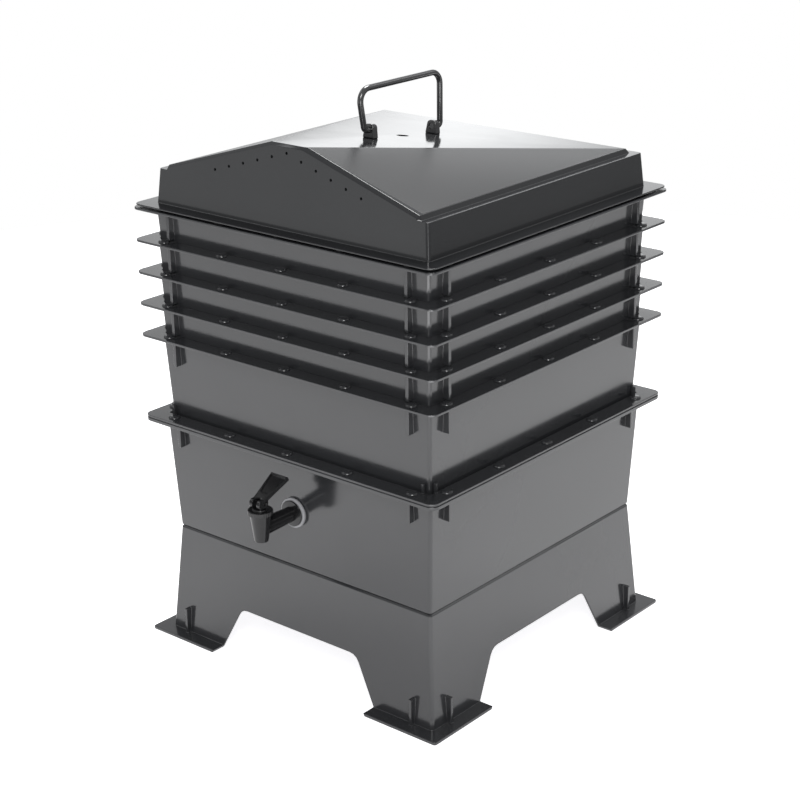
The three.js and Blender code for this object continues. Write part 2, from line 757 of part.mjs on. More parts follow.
function leverForm() {
  const cheeks = prismAlongX(discOutline(-camOffset, 0, cheekRadius), -leverHalfWidth, leverHalfWidth);
  const hub = prismAlongX(discOutline(0, 0, cheekRadius), -leverHalfWidth, leverHalfWidth);
  const outline = [
    [-leverHalfWidth, 0],
    [leverHalfWidth, 0],
    [leverTipHalf, leverLength],
    [-leverTipHalf, leverLength],
  ];
  const shape = new THREE.Shape(outline.map(([x, y]) => new THREE.Vector2(x, y)));
  const depth = leverThickness + leverRim;
  const blade = solid(new THREE.ExtrudeGeometry(shape, { depth, bevelEnabled: false }));
  const inset = outline.map(([x, y]) => [
    x - Math.sign(x) * leverRimWidth,
    y > 0 ? y - leverRimWidth : y + 2 * cheekRadius,
  ]);
  const dishShape = new THREE.Shape(inset.map(([x, y]) => new THREE.Vector2(x, y)));
  const dish = solid(new THREE.ExtrudeGeometry(dishShape, { depth: overrun, bevelEnabled: false }))
    .translate([0, 0, leverThickness]);
  const paddle = cut(blade, dish).translate([0, 0, cheekRadius - leverThickness - leverRim])
    .rotate([leverRaiseDegrees, 0, 0]);
  const slot = box([-stemHeadHalf - runningGap, -3 * cheekRadius, -2 * cheekRadius],
    [stemHeadHalf + runningGap, cheekRadius, cheekRadius + runningGap]);
  const pinHole = cylinder(pinHoleRadius, -leverTipHalf, leverTipHalf, smallSides)
    .rotate([0, 90, 0]);
  return atChamber(cut(join(cheeks, hub, paddle), slot, pinHole).translate([0, 0, pinHeight]));
}

function discOutline(y, z, radius) {
  const points = [];
  for (let i = 0; i < turnedSides; i++) {
    const angle = 2 * Math.PI * i / turnedSides;
    points.push([y + radius * Math.cos(angle), z + radius * Math.sin(angle)]);
  }
  return points;
}

// Materials: one dark moulded plastic for the tubs, harder black for the tap, steel for the wire
const paint = (color, roughness, metalness) =>
  new THREE.MeshStandardMaterial({ color, roughness, metalness, flatShading: true });
const tubPlastic = paint(0x3c3d40, 0.32, 0);
const lidPlastic = paint(0x333437, 0.22, 0);
const earPlastic = paint(0x1b1b1d, 0.35, 0);
const bailSteel = paint(0x2b2b2e, 0.3, 0.7);
const screwSteel = paint(0xa9abad, 0.35, 1);
const tapPlastic = paint(0x161617, 0.25, 0);
const clearRubber = paint(0xc9c9cc, 0.45, 0);
const seatRubber = paint(0xd8d6d0, 0.6, 0);

const wormery = new THREE.Group();
wormery.name = 'wormery';

wormery.add(piece('stand', standForm(), tubPlastic));
wormery.add(piece('sump', sumpForm(), tubPlastic));

const tray = trayForm();
for (let level = 0; level < trayCount; level++) {
  const mesh = piece(`tray_${level + 1}`, tray, tubPlastic);
  mesh.position.z = trayFlangeZ(level);
  wormery.add(mesh);
}

wormery.add(piece('lid', lidForm(screwHoles), lidPlastic));
wormery.add(piece('lid_bail', bailForm(), bailSteel));
wormery.add(piece('bail_ear_front', earForm(-earFrontPlace), earPlastic));
wormery.add(piece('bail_ear_back', earForm(earBackPlace), earPlastic));
screwSpots.forEach(([x, u], i) => {
  wormery.add(piece(`ear_screw_${i + 1}`, screwForm(x, u), screwSteel));
});

const outerNear = padFace + seatGap;
const innerFar = innerPadFace - seatGap;
const nutFar = innerFar - innerWasherThickness - seatGap;
const pinForm = cylinder(pinRadius, -leverHalfWidth, leverHalfWidth, smallSides).rotate([0, 90, 0]);
wormery.add(piece('tap_body', tapBodyForm(), tapPlastic));
wormery.add(piece('tap_outer_washer',
  ringForm(washerRadius, shankRadius + shankGap, outerNear, outerNear + washerThickness, turnedSides),
  clearRubber));
wormery.add(piece('tap_inner_washer',
  ringForm(innerWasherRadius, shankRadius + shankGap, innerFar - innerWasherThickness, innerFar,
    turnedSides),
  clearRubber));
wormery.add(piece('tap_back_nut',
  ringForm(nutRadius, shankRadius + shankGap, nutFar - nutThickness, nutFar, nutSides), tapPlastic));
wormery.add(piece('tap_bonnet', bonnetForm(), tapPlastic));
wormery.add(piece('tap_stem', stemForm(), tapPlastic));
wormery.add(piece('tap_seat', seatForm(), seatRubber));
wormery.add(piece('tap_lever', leverForm(), tapPlastic));
wormery.add(piece('tap_lever_pin', atChamber(pinForm.translate([0, 0, pinHeight])), screwSteel));

// The tap stands out past the foot flange, so the stack moves back to centre the footprint
wormery.position.y = (tapReach + collarRadius - footFlangeHalf) / 2;

export default wormery;
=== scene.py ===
"""A wormery: a splayed stand, a sump with a tap, five nesting trays and a lid with a wire bail"""

import math

import bmesh
import bpy
from mathutils import Matrix, Vector


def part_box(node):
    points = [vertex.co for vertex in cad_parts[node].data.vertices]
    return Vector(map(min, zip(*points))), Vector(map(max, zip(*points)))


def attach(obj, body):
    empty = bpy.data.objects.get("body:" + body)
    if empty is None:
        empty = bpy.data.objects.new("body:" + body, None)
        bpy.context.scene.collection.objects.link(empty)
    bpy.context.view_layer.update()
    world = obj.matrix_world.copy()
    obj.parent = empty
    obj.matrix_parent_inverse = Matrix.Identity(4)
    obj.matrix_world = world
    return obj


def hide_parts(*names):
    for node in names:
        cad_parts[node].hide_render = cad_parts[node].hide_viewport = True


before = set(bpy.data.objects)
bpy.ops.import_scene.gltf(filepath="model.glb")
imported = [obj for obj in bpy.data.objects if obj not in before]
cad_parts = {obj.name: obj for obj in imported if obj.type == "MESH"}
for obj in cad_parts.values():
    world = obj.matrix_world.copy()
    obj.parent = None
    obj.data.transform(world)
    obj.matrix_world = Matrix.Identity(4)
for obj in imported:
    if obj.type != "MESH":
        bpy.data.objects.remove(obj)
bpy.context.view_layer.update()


# Camera
# It stands to the right of the tap and a little above the lid, with a long lens, as the
# photographer's did, and is tipped by less than a degree.
def new_object(name, data):
    """A new object in the scene that holds a mesh, a lens or a lamp"""
    made = bpy.data.objects.new(name, data)
    bpy.context.scene.collection.objects.link(made)
    return made


view_azimuth = math.radians(40.11)
view_elevation = math.radians(20.53)
view_roll = math.radians(-0.71)
view_distance = 2.139
view_target = Vector((-0.0049, 0.01709, 0.2738))

lens_data = bpy.data.cameras.new("long_lens")
lens_data.sensor_fit = "AUTO"
lens_data.sensor_width = 36
lens_data.lens = 84.29
lens_data.clip_start = 0.05
lens_data.clip_end = 100
view_camera = new_object("view_camera", lens_data)

away = Vector((
    math.sin(view_azimuth) * math.cos(view_elevation),
    -math.cos(view_azimuth) * math.cos(view_elevation), math.sin(view_elevation),
))
level_right = Vector((math.cos(view_azimuth), math.sin(view_azimuth), 0))
level_up = away.cross(level_right)
camera_right = level_right * math.cos(view_roll) + level_up * math.sin(view_roll)
camera_up = level_up * math.cos(view_roll) - level_right * math.sin(view_roll)
stance = Matrix((camera_right, camera_up, away)).transposed().to_4x4()
stance.translation = view_target + away * view_distance
view_camera.matrix_world = stance
bpy.context.scene.camera = view_camera


# Stand
# The splayed skirt under everything, one injection moulding in black recycled plastic with a
# gloss off the polished mould. It stands loose on four L-shaped foot flanges.
def new_piece(name):
    """A new piece with an empty mesh"""
    return new_object(name, bpy.data.meshes.new(name))


def open_form(made):
    form = bmesh.new()
    form.from_mesh(made.data)
    return form


def join_flat_faces(form):
    bmesh.ops.dissolve_limit(
        form, angle_limit=math.radians(0.4), verts=form.verts, edges=form.edges
    )


def close_form(form, made):
    """Keeps a changed mesh in its piece"""
    form.to_mesh(made.data)
    form.free()
    return made


def merged_copy(node, name):
    """A copy of a moulding with its corners joined and its flat faces whole"""
    form = open_form(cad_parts[node])
    bmesh.ops.remove_doubles(form, verts=form.verts, dist=0.000004)
    join_flat_faces(form)
    return close_form(form, new_piece(name))


def placed(made, place, turn=0, axis="X"):
    """Turns a form about an axis and then moves it"""
    made.data.transform(Matrix.Translation(place) @ Matrix.Rotation(turn, 4, axis))
    return made


def settle(made):
    """Turns what the modifiers make into the piece's own plain mesh"""
    graph = bpy.context.evaluated_depsgraph_get()
    mesh = bpy.data.meshes.new_from_object(made.evaluated_get(graph))
    made.modifiers.clear()
    made.data = mesh
    mesh.name = made.name
    return made


def round_arrises(made, radius, steps=2, angle=34):
    """Gives the sharp edges the small radius that a mould leaves"""
    rounding = made.modifiers.new("mould_radius", "BEVEL")
    rounding.width = radius
    rounding.segments = steps
    rounding.limit_method = "ANGLE"
    rounding.angle_limit = math.radians(angle)
    rounding.use_clamp_overlap = False
    rounding.miter_outer = "MITER_ARC"
    return settle(made)


def even_shading(made, angle=48):
    """Smooth shading that stays flat on the broad faces"""
    made.data.shade_smooth()
    made.data.set_sharp_from_angle(angle=math.radians(angle))
    weights = made.modifiers.new("broad_faces_flat", "WEIGHTED_NORMAL")
    weights.keep_sharp = True
    weights.weight = 80
    return settle(made)


def give(tree, socket, value):
    """Gives an input a value, or links it to the output of another node"""
    if isinstance(value, bpy.types.NodeSocket):
        tree.links.new(value, socket)
    else:
        socket.default_value = value


def add_node(tree, kind, settings=(), **values):
    """A node with its settings and its inputs, whose names have underscores for spaces"""
    node = tree.nodes.new(kind)
    for name, value in dict(settings).items():
        setattr(node, name, value)
    for name, value in values.items():
        give(tree, node.inputs[name.replace("_", " ")], value)
    return node


def work_out(tree, operation, *values):
    """The result of a sum of numbers and outputs"""
    node = add_node(tree, "ShaderNodeMath", {"operation": operation})
    for socket, value in zip(node.inputs, values):
        give(tree, socket, value)
    return node.outputs["Value"]


def times(tree, first, second):
    return work_out(tree, "MULTIPLY", first, second)


def noise(tree, place, scale, detail=2, distortion=0):
    """A noise from 0 to 1 at a place"""
    node = add_node(
        tree, "ShaderNodeTexNoise", Vector=place, Scale=scale, Detail=detail,
        Distortion=distortion,
    )
    return node.outputs["Fac"]


def in_range(tree, value, low, high, at_low=0, at_high=1, smooth=False):
    """A value brought from one range to another"""
    node = add_node(
        tree, "ShaderNodeMapRange", {"interpolation_type": "SMOOTHSTEP" if smooth else "LINEAR"},
        Value=value, From_Min=low, From_Max=high, To_Min=at_low, To_Max=at_high,
    )
    return node.outputs["Result"]


def new_group(name, kind, inputs, outputs):
    """A node group, with what its inputs give and its output node. Each input is given as its
    usual value or as a kind of socket, and each output as a kind."""
    group = bpy.data.node_groups.new(name, kind)
    number_kinds = {float: "Float", int: "Int"}
    for in_out, sockets in (("INPUT", inputs), ("OUTPUT", outputs)):
        for title, value in sockets.items():
            socket = group.interface.new_socket(
                name=title, in_out=in_out,
                socket_type="NodeSocket" + number_kinds.get(type(value), str(value)),
            )
            if type(value) in number_kinds:
                socket.default_value = value
    given = group.nodes.new("NodeGroupInput").outputs
    return group, given, group.nodes.new("NodeGroupOutput")


def skin_group(name, **scales):
    """A shared group that gives the gloss, the relief and the shade of a surface at a place"""
    inputs = {"Place": "Vector", "Glossiest": 0.12, "Dullest": 0.2}
    inputs.update({title.replace("_", " "): scale for title, scale in scales.items()})
    outputs = dict.fromkeys(("Roughness", "Height", "Shade"), "Float")
    return new_group(name, "ShaderNodeTree", inputs, outputs)


def end_skin(group, result, *values):
    """Links the gloss, the relief and the shade that a skin group gives"""
    for socket, value in zip(result.inputs, values):
        group.links.new(value, socket)
    return group


def moulded_skin_group():
    """The skin of a moulding: a fine ripple, flow marks in the gloss and slow changes of shade"""
    group, given, result = skin_group("moulded_skin", Ripple_scale=700.0, Flow_scale=14.0)
    place = given["Place"]
    ripple = noise(group, place, given["Ripple scale"])
    flow = noise(group, place, given["Flow scale"], 4, 0.8)
    gloss = in_range(group, flow, 0.3, 0.7, given["Glossiest"], given["Dullest"])
    shade = in_range(group, noise(group, place, 5, 3), 0.3, 0.7)
    return end_skin(group, result, gloss, ripple, shade)


moulded_skin = moulded_skin_group()


def skinned(name, group, shades, ior, metal, relief, **skin_inputs):
    """A material between two near shades, whose gloss, shade and relief come from a skin group"""
    made = bpy.data.materials.new(name)
    made.use_nodes = True
    tree = made.node_tree
    place = add_node(tree, "ShaderNodeTexCoord").outputs["Object"]
    skin = add_node(tree, "ShaderNodeGroup", {"node_tree": group}, Place=place, **skin_inputs)
    deep, pale = shades
    colour = add_node(
        tree, "ShaderNodeMix", {"data_type": "RGBA"}, Factor=skin.outputs["Shade"], A=(*deep, 1),
        B=(*pale, 1),
    )
    depth, strength, sunk = relief
    bump = add_node(
        tree, "ShaderNodeBump", {"invert": sunk}, Height=skin.outputs["Height"],
        Strength=strength, Distance=depth,
    )
    shader = tree.nodes["Principled BSDF"]
    for title, value in (
        ("Base Color", colour.outputs["Result"]), ("Roughness", skin.outputs["Roughness"]),
        ("Normal", bump.outputs["Normal"]), ("IOR", ior), ("Metallic", metal),
    ):
        give(tree, shader.inputs[title], value)
    return made


def moulded_plastic(name, deep, pale, gloss, ripple_depth, ripple_scale=700, ior=1.72):
    """A moulded plastic with a wavering gloss, given as its glossiest and its dullest"""
    return skinned(
        name, moulded_skin, (deep, pale), ior, 0, (ripple_depth, 1, False),
        Ripple_scale=ripple_scale, Glossiest=gloss[0], Dullest=gloss[1],
    )


tub_plastic = moulded_plastic(
    "tub_plastic", deep=(0.036, 0.037, 0.040), pale=(0.045, 0.046, 0.050), gloss=(0.13, 0.19),
    ripple_depth=0.000006,
)


def dress(made, material, body, node=None):
    """Gives a piece its finish and its body, in place of a node, which it hides. Where the node
    isn't given, it has the body's name."""
    made.data.materials.clear()
    made.data.materials.append(material)
    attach(made, body)
    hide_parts(*(node if isinstance(node, list) else [node or body]))
    return made


middle_y = ((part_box("tray_1")[0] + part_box("tray_1")[1]) / 2).y
near = 0.0004
plain_fin_half = 0.0035
fin_half = 0.002


def reshape(made, rule):
    """Moves a moulding's corners by one rule for its four sides, which is given a corner's place
    along its side, its reach out from the stack's middle and its height"""
    for corner in made.data.vertices:
        x = corner.co.x
        y = corner.co.y - middle_y
        if abs(y) >= abs(x):
            new_x, new_y, height = rule(abs(x), abs(y), corner.co.z)
        else:
            new_y, new_x, height = rule(abs(y), abs(x), corner.co.z)
        corner.co = (math.copysign(new_x, x), middle_y + math.copysign(new_y, y), height)
    return made


def thin_fins(made, place, edge, tip, root, lean):
    """Thins the fins of a copied moulding. Place, edge and tip are each given as the model has
    them and as they are moulded, and the tip slides along the wall's lean."""

    def rule(along, out, height):
        beside = abs(abs(along - place[0]) - plain_fin_half) < near
        in_height = min(tip[0], root) - near < height < max(tip[0], root) + near
        if not (beside and in_height and out > 0.18):
            return along, out, height
        on_edge = out > edge[0] - near
        if on_edge:
            out = edge[1]
        if abs(height - tip[0]) < near:
            height = tip[1]
            if not on_edge:
                out += lean * (tip[1] - tip[0])
        return place[1] + math.copysign(fin_half, along - place[0]), out, height

    return reshape(made, rule)


def turn_corners(made, half, plain_radius, radius):
    """Gives the round corners of a square outline another radius"""
    plain_centre = half - plain_radius
    centre = half - radius

    def rule(along, out, height):
        reach = math.hypot(max(along - plain_centre, 0), out - plain_centre)
        if along > plain_centre - near and abs(reach - plain_radius) < near:
            along = centre + (along - plain_centre) * radius / plain_radius
            out = centre + (out - plain_centre) * radius / plain_radius
        return along, out, height

    return reshape(made, rule)


foot_half = 0.2132
stand_lean = -0.0818
stand_moulding = merged_copy("stand", "stand_moulding")
thin_fins(
    stand_moulding, place=(0.1740, 0.1692), edge=(0.2090, 0.2012), tip=(0.038, 0.034),
    root=0.0035, lean=stand_lean,
)
turn_corners(stand_moulding, foot_half, 0.005, 0.003)
round_arrises(stand_moulding, 0.0006)
dress(even_shading(stand_moulding), tub_plastic, "stand")


# Sump
# The deep tub that catches the liquid, in the same black plastic. It sits loose on the stand's
# deck, and the lowest tray sits inside its lipped rim between the guide lugs.
nub_radius = 0.0065
nub_height = 0.002
nub_row = 0.198
nub_end_place = 0.173
nub_middle_place = 0.0855
plain_nub_radius = 0.004
plain_nub_height = 0.003
guide_lug_height = 0.010
flange_half = 0.210
flange_corner = 0.010
flange_plate = 0.0025
plain_lip = 0.0045
lip = 0.0072
lip_thickness = 0.002
fin_place = (0.1705, 0.1670)
fin_edge = (0.2045, 0.1978)
fin_drop = (0.030, 0.035)
sump_lean = 0.0462
groove_depth = 0.0013
groove_below = (0.0021, 0.0035)


def remove_and_close(form, parts, kind, sides=0):
    """Takes parts off a mesh and closes the holes that they leave"""
    bmesh.ops.delete(form, geom=parts, context=kind)
    open_edges = [edge for edge in form.edges if edge.is_boundary]
    bmesh.ops.holes_fill(form, edges=open_edges, sides=sides)


def without_nubs(made, flange_top):
    """Takes the plain nubs off a copy, so that finer ones can take their places"""
    form = open_form(made)
    nub_tops = []
    for corner in form.verts:
        reach = max(abs(corner.co.x), abs(corner.co.y - middle_y))
        rise = corner.co.z - flange_top
        on_nub = 0.0005 < rise < plain_nub_height + 0.0005
        if on_nub and reach > nub_row - plain_nub_radius - near:
            nub_tops.append(corner)
    remove_and_close(form, nub_tops, "VERTS", 12)
    join_flat_faces(form)
    return close_form(form, made)


def geometry_tree(name, **inputs):
    """A geometry tree that takes a piece and a finish beside these inputs"""
    sockets = {"Geometry": "Geometry", "Finish": "Material"}
    sockets.update({title.replace("_", " "): value for title, value in inputs.items()})
    return new_group(name, "GeometryNodeTree", sockets, {"Geometry": "Geometry"})


def end_tree(tree, given, result, geometry):
    """Ends a geometry tree, with its copies made real and all of it in the finish"""
    real = add_node(tree, "GeometryNodeRealizeInstances", Geometry=geometry)
    finish = add_node(
        tree, "GeometryNodeSetMaterial", Geometry=real.outputs["Geometry"],
        Material=given["Finish"],
    )
    tree.links.new(finish.outputs["Geometry"], result.inputs["Geometry"])
    return tree


def point_at(tree, x=0, y=0, z=0):
    return add_node(tree, "ShaderNodeCombineXYZ", X=x, Y=y, Z=z).outputs["Vector"]


def own_place(tree):
    """The three parts of each point's own place"""
    here = add_node(tree, "GeometryNodeInputPosition").outputs["Position"]
    return add_node(tree, "ShaderNodeSeparateXYZ", Vector=here).outputs


def copies(tree, points, form):
    node = add_node(tree, "GeometryNodeInstanceOnPoints", Points=points, Instance=form)
    return node.outputs["Instances"]


def moved(tree, geometry, place=(0, 0, 0), turn=(0, 0, 0)):
    node = add_node(
        tree, "GeometryNodeTransform", Geometry=geometry, Translation=place, Rotation=turn
    )
    return node.outputs["Geometry"]


def joined(tree, *geometries):
    node = tree.nodes.new("GeometryNodeJoinGeometry")
    for geometry in geometries:
        tree.links.new(geometry, node.inputs["Geometry"])
    return node.outputs["Geometry"]


def rest_nub_tree():
    """Rows of nubs on the four sides of a flange, each a low disc with a softly rounded rim"""
    tree, given, result = geometry_tree(
        "rest_nubs", Row=nub_row, End_place=nub_end_place, Middle_place=nub_middle_place,
        Radius=nub_radius, Height=nub_height, Flange_top=0.0, Stack_middle=0.0,
    )
    ball = add_node(tree, "GeometryNodeMeshUVSphere", Segments=16, Rings=8, Radius=1)
    across, along, up = own_place(tree)
    reach = work_out(tree, "ADD", times(tree, across, across), times(tree, along, along))
    left_over = work_out(tree, "SUBTRACT", 1, times(tree, reach, reach))
    crown = work_out(tree, "POWER", work_out(tree, "MAXIMUM", left_over, 0), 0.25)
    above = work_out(tree, "GREATER_THAN", up, -0.001)
    side_of_flange = work_out(tree, "MULTIPLY_ADD", above, 1.4, -0.4)
    rise = times(tree, times(tree, crown, side_of_flange), given["Height"])
    rounded = point_at(
        tree, times(tree, across, given["Radius"]), times(tree, along, given["Radius"]), rise
    )
    disc = add_node(
        tree, "GeometryNodeSetPosition", Geometry=ball.outputs["Mesh"], Position=rounded
    )
    start_y = times(tree, given["Row"], -1)
    rows = []
    for count, reach_name in ((3, "Middle place"), (2, "End place")):
        row = add_node(
            tree, "GeometryNodeMeshLine", Count=count,
            Start_Location=point_at(tree, times(tree, given[reach_name], -1), start_y),
            Offset=point_at(tree, times(tree, given[reach_name], 2 / (count - 1))),
        )
        rows.append(row.outputs["Mesh"])
    nubs = copies(tree, joined(tree, *rows), disc.outputs["Geometry"])
    middle = point_at(tree, 0, given["Stack middle"], given["Flange top"])
    sides = [moved(tree, nubs, middle, (0, 0, i * math.pi / 2)) for i in range(4)]
    whole = joined(tree, given["Geometry"], joined(tree, *sides))
    return end_tree(tree, given, result, whole)


def run_tree(made, tree, **values):
    """Runs a geometry tree on a piece, with its named inputs set by their sockets"""
    step = made.modifiers.new(tree.name, "NODES")
    step.node_group = tree
    sockets = {}
    for item in tree.interface.items_tree:
        if item.item_type == "SOCKET" and item.in_out == "INPUT":
            sockets[item.name] = item.identifier
    for name, value in values.items():
        step[sockets[name.replace("_", " ")]] = value
    return settle(made)


rest_nubs = rest_nub_tree()


def add_nubs(made, flange_top):
    """Puts the finer nubs on a flange and makes them one mesh with it"""
    return run_tree(
        made, rest_nubs, Flange_top=flange_top, Stack_middle=middle_y, Finish=tub_plastic
    )


def with_solid(made, tool, operation="DIFFERENCE"):
    """Cuts a tool out of a piece, or joins it on, and takes the tool away"""
    step = made.modifiers.new(tool.name, "BOOLEAN")
    step.operation = operation
    step.solver = "EXACT"
    step.object = tool
    settle(made)
    bpy.data.objects.remove(tool)
    return made


def form_piece(form, name):
    """A new piece from a mesh, with its faces turned outwards"""
    bmesh.ops.recalc_face_normals(form, faces=form.faces)
    return close_form(form, new_piece(name))


def square_ring(name, half, radius, low, high, steps=9):
    """A broad square ring round the stack, whose inside has round corners, to cut with"""
    form = bmesh.new()
    loops = []
    for reach in (half, 0.24):
        for height in (low, high):
            loop = []
            for turn in range(4 * (steps + 1)):
                quarter, step = divmod(turn, steps + 1)
                angle = (quarter + step / steps) * math.pi / 2
                side = (quarter + 0.5) * math.pi / 2
                x = math.copysign(reach - radius, math.cos(side)) + radius * math.cos(angle)
                y = math.copysign(reach - radius, math.sin(side)) + radius * math.sin(angle)
                loop.append(form.verts.new((x, y + middle_y, height)))
            loops.append(loop)
    inner_low, inner_high, outer_low, outer_high = loops
    for spot in range(len(inner_low)):
        after = (spot + 1) % len(inner_low)
        for first, second in (
            (inner_low, inner_high), (inner_high, outer_high), (outer_high, outer_low),
            (outer_low, inner_low),
        ):
            form.faces.new((first[spot], first[after], second[after], second[spot]))
    return form_piece(form, name)


def round_flange(made, half, radius, flange_top):
    low = flange_top - 0.012
    cutter = square_ring("flange_corners", half + 0.00002, radius, low, flange_top + 0.002)
    return with_solid(made, cutter)


tap_height = 0.200
plain_pad = (0.0180, 0.189927, 0.185327)
pad = (0.0166, 0.189627, 0.185627)


def fit_pads(made):
    """Brings the round pads on both faces of the front wall to the size of the tap's washers"""
    for corner in made.data.vertices:
        x = corner.co.x
        z = corner.co.z - tap_height
        out = middle_y - corner.co.y
        reach = math.hypot(x, z)
        if out < 0.17 or reach > plain_pad[0] + near:
            continue
        on_face = abs(out - plain_pad[1]) < near / 4
        on_inner_face = abs(out - plain_pad[2]) < near / 4
        if abs(reach - plain_pad[0]) < near:
            share = pad[0] / plain_pad[0]
            corner.co.x = x * share
            corner.co.z = tap_height + z * share
            corner.co.y -= sump_lean * z * (share - 1)
        if on_face:
            corner.co.y = middle_y - pad[1]
        if on_inner_face:
            corner.co.y = middle_y - pad[2]
    return made


def deepen_lip(along, out, height):
    """The lip of the sump's flange, as deep as it is moulded"""
    if out > 0.2 and abs(height - sump_flange_top + plain_lip) < near:
        height = sump_flange_top - lip
    return along, out, height


sump_flange_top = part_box("sump")[1].z - guide_lug_height
sump_moulding = merged_copy("sump", "sump_moulding")
without_nubs(sump_moulding, sump_flange_top)
thin_fins(
    sump_moulding, fin_place, fin_edge, tip=[sump_flange_top - drop for drop in fin_drop],
    root=sump_flange_top - flange_plate, lean=sump_lean,
)
fit_pads(sump_moulding)
reshape(sump_moulding, deepen_lip)
turn_corners(sump_moulding, flange_half - lip_thickness, 0.003, flange_corner - lip_thickness)
round_flange(sump_moulding, flange_half, flange_corner, sump_flange_top)
groove = square_ring(
    "lip_groove", flange_half - groove_depth, flange_corner - groove_depth,
    sump_flange_top - groove_below[1], sump_flange_top - groove_below[0],
)
with_solid(sump_moulding, groove)
round_arrises(sump_moulding, 0.0004)
add_nubs(sump_moulding, sump_flange_top)
dress(even_shading(sump_moulding), tub_plastic, "sump")


# Trays
# Five thin trays from one mould. Their floors are grids of square holes that the worms climb
# through, and each rests by its fins on the nubs of the flange below.
tray_floor = 0.003
grid_pitch = 0.01585
grid_count = 21
grid_hole = 0.0065


def punch_tree():
    """A square grid of square pins, one for each hole in a tray's floor"""
    tree, given, result = geometry_tree(
        "floor_punch", Holes_per_side=grid_count, Pitch=grid_pitch, Hole_side=grid_hole,
        Length=0.01, Middle="Vector",
    )
    spaces = work_out(tree, "SUBTRACT", given["Holes per side"], 1)
    width = times(tree, spaces, given["Pitch"])
    grid = add_node(
        tree, "GeometryNodeMeshGrid", Size_X=width, Size_Y=width,
        Vertices_X=given["Holes per side"], Vertices_Y=given["Holes per side"],
    )
    size = point_at(tree, given["Hole side"], given["Hole side"], given["Length"])
    pin = add_node(tree, "GeometryNodeMeshCube", Size=size)
    pins = copies(tree, grid.outputs["Mesh"], pin.outputs["Mesh"])
    return end_tree(tree, given, result, moved(tree, pins, given["Middle"]))


def grown(name, tree, **values):
    """A piece that a geometry tree makes from nothing"""
    return run_tree(new_piece(name), tree, **values)


def without_floor_holes(made, underside):
    """Closes the few plain holes of a copied tray floor"""
    form = open_form(made)
    levels = (underside, underside + tray_floor)
    floor_faces = []
    for face in form.faces:
        heights = [min(abs(corner.co.z - level) for level in levels) for corner in face.verts]
        if max(heights) < 0.00005:
            floor_faces.append(face)
    remove_and_close(form, floor_faces, "FACES")
    return close_form(form, made)


tray_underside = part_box("tray_1")[0].z
tray_flange_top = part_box("tray_1")[1].z - plain_nub_height
tray_pitch = 0.0362
tray_fin_gap = 0.0003
tray_lean = 0.0481
tray_moulding = merged_copy("tray_1", "tray_1_moulding")
without_nubs(tray_moulding, tray_flange_top)
without_floor_holes(tray_moulding, tray_underside)
fin_rests = [tray_flange_top - tray_pitch + height + tray_fin_gap
             for height in (plain_nub_height, nub_height)]
thin_fins(
    tray_moulding, fin_place, fin_edge, tip=fin_rests, root=tray_flange_top - flange_plate,
    lean=tray_lean,
)
round_flange(tray_moulding, flange_half, flange_corner, tray_flange_top)
round_arrises(tray_moulding, 0.0004)

floor_pins = grown(
    "floor_pins", punch_tree(), Middle=(0, middle_y, tray_underside + tray_floor / 2),
    Finish=tub_plastic,
)
with_solid(tray_moulding, floor_pins)
add_nubs(tray_moulding, tray_flange_top)
even_shading(tray_moulding)

for level in range(2, 6):
    node = f"tray_{level}"
    made = new_object(f"{node}_moulding", tray_moulding.data.copy())
    dress(placed(made, (0, 0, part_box(node)[0].z - tray_underside)), tub_plastic, node)
dress(tray_moulding, tub_plastic, "tray_1")


# Lid
# The low drafted cover with its gabled roof, moulded in a glossier black, with a row of air
# holes under the gable. It rests on the top tray's nubs, with a skirt inside the tray's mouth.
lid_eave_half = 0.187
roof_edge_half = 0.174
roof_step = 0.005
plain_gable_rise = 0.053
gable_rise = 0.0512
gable_peak_half = 0.022
gable_lean = 0.0867
plain_chamfer = 0.005
gable_chamfer = 0.003
lid_skirt = 0.006
lid_wall_height = 0.0382
lid_flange_plate = 0.0016
lid_flange_drop = 0.001
lid_flange_half = 0.2085
vent_count = 11
vent_pitch = 0.0203
vent_radius = 0.0016
vent_drop = 0.0164
centre_hole_radius = 6.8
lid_foot_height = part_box("lid")[0].z + lid_skirt
eave_height = lid_foot_height + lid_wall_height
step_height = eave_height + roof_step
side_slope = (gable_rise - roof_step) / (roof_edge_half - gable_peak_half)
back_slope = (gable_rise - roof_step) / (roof_edge_half + lid_eave_half)
plain_back_slope = (plain_gable_rise - roof_step) / (roof_edge_half + lid_eave_half)
slope_angle = math.atan(back_slope)
roof_foot = Vector((0, middle_y, step_height + back_slope * roof_edge_half))
roof_down = Vector((0, math.cos(slope_angle), -math.sin(slope_angle)))
ear_front_place = -0.054
ear_back_place = 0.0522

lid_plastic = moulded_plastic(
    "lid_plastic", deep=(0.017, 0.018, 0.020), pale=(0.024, 0.025, 0.027), gloss=(0.09, 0.15),
    ripple_depth=0.000005,
)


